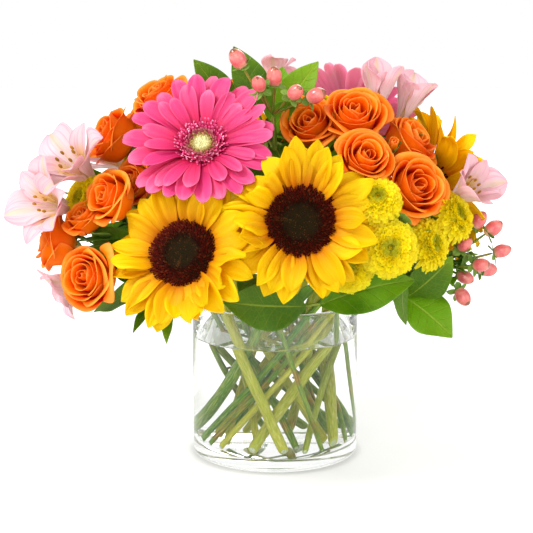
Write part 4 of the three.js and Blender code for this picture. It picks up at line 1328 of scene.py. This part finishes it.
for number, spray in enumerate(lily["sprays"]):
    buildLilies(spray, number)
print("alstroemeria sprays:", len(lily["sprays"]))


# Hypericum berries
berry = {
    "length": 14, "stem": 2, "branch": 1, "stemTone": (0.3, 0.55),
    "sepal": {
        "count": 5, "jitter": 0.1, "root": 1.4, "height": -6.2, "lean": 6, "layer": 0.2,
        "length": 8, "lengthSpread": 1, "width": 6.8, "widthSpread": 0.7, "rise": -14, "riseSpread": 16,
        "bend": 24, "bendSpread": 30, "cup": 0.2, "foldDepth": 0, "rows": 5, "columns": 2,
        "outline": [(0, 0.4), (0.35, 0.95), (0.65, 0.9), (0.9, 0.5), (1, 0.1)],
    },
    "sprays": [
        {"name": "hypericum_top", "fork": (-2, -36, 264), "ring": "inner", "neck": 18, "berries": [
            (-27, -52, 305), (-12, -62, 288), (-1, -48, 292), (14, -62, 282), (29, -52, 279)]},
        {"name": "hypericum_right", "fork": (124, -28, 150), "ring": "outer", "neck": 38, "berries": [
            (151, -28, 185), (163, -22, 178), (139, -44, 170), (168, -34, 163), (151, -48, 155),
            (160, -18, 146), (141, -34, 143), (138, -48, 131)]},
    ],
}


def buildBerries(spray, number):
    dice = random.Random(600 + number)
    name = spray["name"]
    fork = Vector(spray["fork"])
    rise = sprayRise(spray["ring"], spray["neck"], fork)
    tone = (*berry["stemTone"], dice.random())
    stalks, fruit, green = newShape(), newShape(), newShape()
    points = stemCourse(spray["ring"], spray["neck"], fork + rise, rise, berry["stem"])
    points, radii = knotty(points, berry["stem"], dice)
    addTube(stalks, points, radii, 10, tone, cut=True)
    addStubs(stalks, points, berry["stem"], dice, tone)
    courses = [aboveNeck(points)]
    profile = [(0, -7), (2.6, -6.4), (4.3, -4.4), (5.1, -1), (4.9, 2), (3.6, 4.9), (1.7, 6.5), (0.5, 7),
               (0, 7)]
    layer = fruit.verts.layers.float_vector["tone"]
    for at in spray["berries"]:
        outward = (Vector(at) - fork).normalized()
        seat = frameOn(Vector(at), outward, upward) @ Matrix.Rotation(pi / 2, 4, "Y")
        end = Vector(at) - outward * berry["length"] * 0.45
        middle = fork.lerp(end, 0.5) + Vector([dice.uniform(-1.2, 1.2) for _ in range(3)])
        points = curve(fork, fork.lerp(middle, 0.9), middle, end, 6)
        points, radii = knotty(points, berry["branch"], dice, every=3, wobble=0.1)
        addTube(stalks, points, radii, 8, tone)
        courses.append(points[1:-2])
        luck = dice.random()
        made = addDome(fruit, seat @ Matrix.Scale(dice.uniform(1.0, 1.22), 4), profile, 16, (luck, 0.5, 0.5))
        inverse = seat.inverted()
        for vert in made:
            height = (inverse @ vert.co).z
            vert[layer] = (luck, (height + 7) / 14, 0.5)
        addRing(green, seat, berry["sepal"], dice)
    addFoliage(name, courses, [name], dice, 0.6, 2)
    makePiece(name + "_stalks", stalks, ["stemGreen", "cutPith"], [name])
    makePiece(name + "_berries", fruit, ["berryCoral"], [name])
    makePiece(name + "_sepals", green, ["leafUnder"], [name], wall=0.4)


for number, spray in enumerate(berry["sprays"]):
    buildBerries(spray, number)
print("berry sprays:", len(berry["sprays"]))


# Leaves
leaf = {
    "stem": 1.9, "petiole": 1.1, "rows": 14, "columns": 8, "wall": 0.5, "stemTone": (0.35, 0.5),
    # base, tip, width, face, droop
    "sprays": [
        {"name": "leaves_top", "fork": (-6, -2, 244), "ring": "inner", "neck": -8, "leaves": [
            ((-12, -8, 262), (-31, -6, 312), 28, (24, 10), 3),
            ((2, -8, 258), (32, -10, 301), 27, (-8, 24), 3),
            ((-30, -14, 262), (-60, -20, 303), 24, (-10, 30), 3),
            ((-2, -10, 250), (16, -42, 272), 22, (0, 30), 3),
            ((0, -8, 248), (24, -34, 246), 24, (10, 50), 3),
            ((-4, -6, 256), (6, 12, 296), 24, (0, 20), 3),
            ((4, -16, 240), (30, -60, 226), 26, (30, 50), 3),
            ((-2, -18, 238), (4, -66, 232), 24, (-10, 50), 3),
            ((2, -8, 238), (54, 0, 236), 28, (4, 18), 3)]},
        {"name": "leaves_front", "fork": (17, -58, 126), "ring": "steep", "neck": 2, "leaves": [
            ((22, -72, 129), (-38, -80, 134), 36, (-2, 4), 5),
            ((32, -72, 130), (100, -76, 149), 36, (12, 26), 7)]},
        {"name": "leaves_right", "fork": (84, -40, 134), "ring": "steep", "neck": 62, "leaves": [
            ((94, -62, 148), (94, -76, 116), 19, (232, -20), 4),
            ((98, -50, 132), (128, -62, 164), 32, (28, 6), 4),
            ((92, -44, 132), (130, -56, 102), 40, (24, 34), 4),
            ((85, -58, 174), (89, -100, 201), 20, (10, 40), 2)]},
        {"name": "leaves_left", "fork": (-78, -44, 132), "ring": "outer", "neck": -72, "leaves": [
            ((-84, -52, 130), (-102, -84, 112), 10, (-30, 30), 3),
            ((-76, -58, 124), (-78, -84, 104), 9, (-20, 30), 3),
            ((-88, -32, 132), (-138, -14, 112), 34, (-70, 50), 5),
            ((-94, -46, 150), (-134, -52, 184), 34, (-24, 22), 3),
            ((-90, -40, 146), (-126, -34, 158), 30, (-30, 40), 3)]},
        {"name": "leaves_back", "fork": (-12, 60, 129), "ring": "outer", "neck": 177, "leaves": [
            ((-2, 74, 130), (60, 90, 118), 34, (160, 30), 5),
            ((-18, 72, 130), (-62, 94, 112), 36, (190, 40), 6),
            ((-18, 70, 138), (-34, 112, 150), 34, (180, 70), 4)]},
        {"name": "leaves_corner", "fork": (-80, 44, 140), "ring": "outer", "neck": -145, "leaves": [
            ((-90, 48, 138), (-142, 58, 126), 36, (-115, 50), 6),
            ((-84, 58, 136), (-110, 102, 124), 34, (-140, 45), 5),
            ((-90, 42, 148), (-140, 34, 164), 34, (-100, 20), 4),
            ((-94, 16, 172), (-146, 6, 222), 30, (-40, 12), 3),
            ((-86, 18, 156), (-140, 12, 172), 28, (-30, 14), 3)]},
    ],
}


def buildLeaves(spray, number):
    dice = random.Random(700 + number)
    name = spray["name"]
    fork = Vector(spray["fork"])
    rise = sprayRise(spray["ring"], spray["neck"], fork)
    tone = (*leaf["stemTone"], dice.random())
    stalks, blades = newShape(), newShape()
    points = stemCourse(spray["ring"], spray["neck"], fork + rise, rise, leaf["stem"])
    points, radii = knotty(points, leaf["stem"], dice)
    addTube(stalks, points, radii, 10, tone, cut=True)
    addStubs(stalks, points, leaf["stem"], dice, tone)
    addFoliage(name, [aboveNeck(points)], [name], dice)
    for base, tip, width, face, droop in spray["leaves"]:
        joint = addLeaf(blades, base, tip, width, heading(*face), droop, dice, leaf["rows"], leaf["columns"])
        points = curve(fork, fork.lerp(joint, 0.35), fork.lerp(joint, 0.7), joint, 6)
        addTube(stalks, points, [leaf["petiole"] * (1.1 - 0.05 * i) for i in range(7)], 8, (0.45, 0.1, 0.5))
    makePiece(name + "_stalks", stalks, ["stemGreen", "cutPith"], [name])
    makePiece(name + "_blades", blades, ["leafGloss", "leafUnder"], [name], wall=leaf["wall"])


for number, spray in enumerate(leaf["sprays"]):
    buildLeaves(spray, number)
print("leaf sprays:", len(leaf["sprays"]))


# Glass and water
def turnedPiece(name, profile, looks, node, second):     # second picks the faces of the other finish
    bm = newShape()
    addDome(bm, Matrix.Identity(4), profile, vase["sides"], (0.5, 0.5, 0.5))
    for face in bm.faces:
        middle = face.calc_center_median()
        face.material_index = 1 if second(middle.xy.length, middle.z) else 0
    makePiece(name, bm, looks, [node], smooth=0)


def arc(r, z, radius, start, end, steps):       # a rounded corner of a profile, about (r, z)
    angles = [radians(start + (end - start) * i / steps) for i in range(steps + 1)]
    return [(r + radius * cos(a), z + radius * sin(a)) for a in angles]


def buildGlass():
    r, wall, floor, top = vase["radius"], vase["wall"], vase["floor"], vase["height"]
    inner, corner = r - wall, 5
    heel = arc(r - vase["heel"], vase["heel"], vase["heel"], -80, 0, 6)
    lip = arc(r - wall / 2, top - 2, wall / 2, 0, 180, 8)
    nook = arc(inner - corner, floor + corner, corner, 0, -90, 6)
    bottom = [(0, 1.2), (20, 1.0), (r - 10, 0.5), (r - 6, 0)]
    meet = (inner, waterLevel + 1.2)
    profile = bottom + heel + lip + [meet] + nook + [(30, floor), (0, floor)]
    turnedPiece("vase_glass", profile, ["glassClear", "glassWet"], "vase",
                lambda out, height: out < inner + 0.1 and floor - 0.1 < height < meet[1])
    gap = 0.2       # the water's own faces stay clear of the glass
    low = arc(inner - corner - gap, floor + corner + gap, corner, -90, 0, 6)
    creep = [(gap, 1.2), (0.5, 0.7), (1.3, 0.25), (2.8, 0)]       # water climbs a little up the glass
    brim = [(inner - back, waterLevel + up) for back, up in creep] + [(30, waterLevel), (0, waterLevel)]
    turnedPiece("vase_water", [(0, floor + gap), (30, floor + gap)] + low + brim,
                ["waterClear", "waterSide"], "water",
                lambda out, height: height < waterLevel - 0.1)


buildGlass()
print("glass and water")


# Floor
def buildFloor():
    bm = bmesh.new()
    bmesh.ops.create_grid(bm, x_segments=1, y_segments=1, size=studio["floorSize"] / 2)
    mesh = bpy.data.meshes.new("floor")
    bm.to_mesh(mesh)
    bm.free()
    finish = Finish("floorPale")
    place = finish.add("TexCoord", {}, {}, output=3)
    mottle = finish.noise(place, 6.0, 2.0)
    spot = finish.add("SeparateXYZ", {}, {0: place})
    away = (spot ** 2 + Wire(finish, spot.socket.node.outputs[1]) ** 2) ** 0.5
    near = studio["floorGlow"]
    glow = finish.mix(away.within(0.3, 1.1), (near, near, near), (1, 1, 1))
    close = 1 - away.within(0.059, 0.071)       # painted contact shadow: the floor's colour and glow are darker against the foot of the glass
    shader = finish.add("BsdfPrincipled", {}, {
        "Base Color": finish.shaded(tint(studio["floorColour"]), 0.99 + mottle * 0.02 - close * 0.35),
        "Roughness": 0.7, "Specular IOR Level": 0.2,
        "Emission Color": finish.shaded(glow, 1 - close * 0.35), "Emission Strength": 1.0,
    })
    mesh.materials.append(finish.close(shader))
    floor = bpy.data.objects.new("floor", mesh)
    bpy.context.scene.collection.objects.link(floor)


buildFloor()
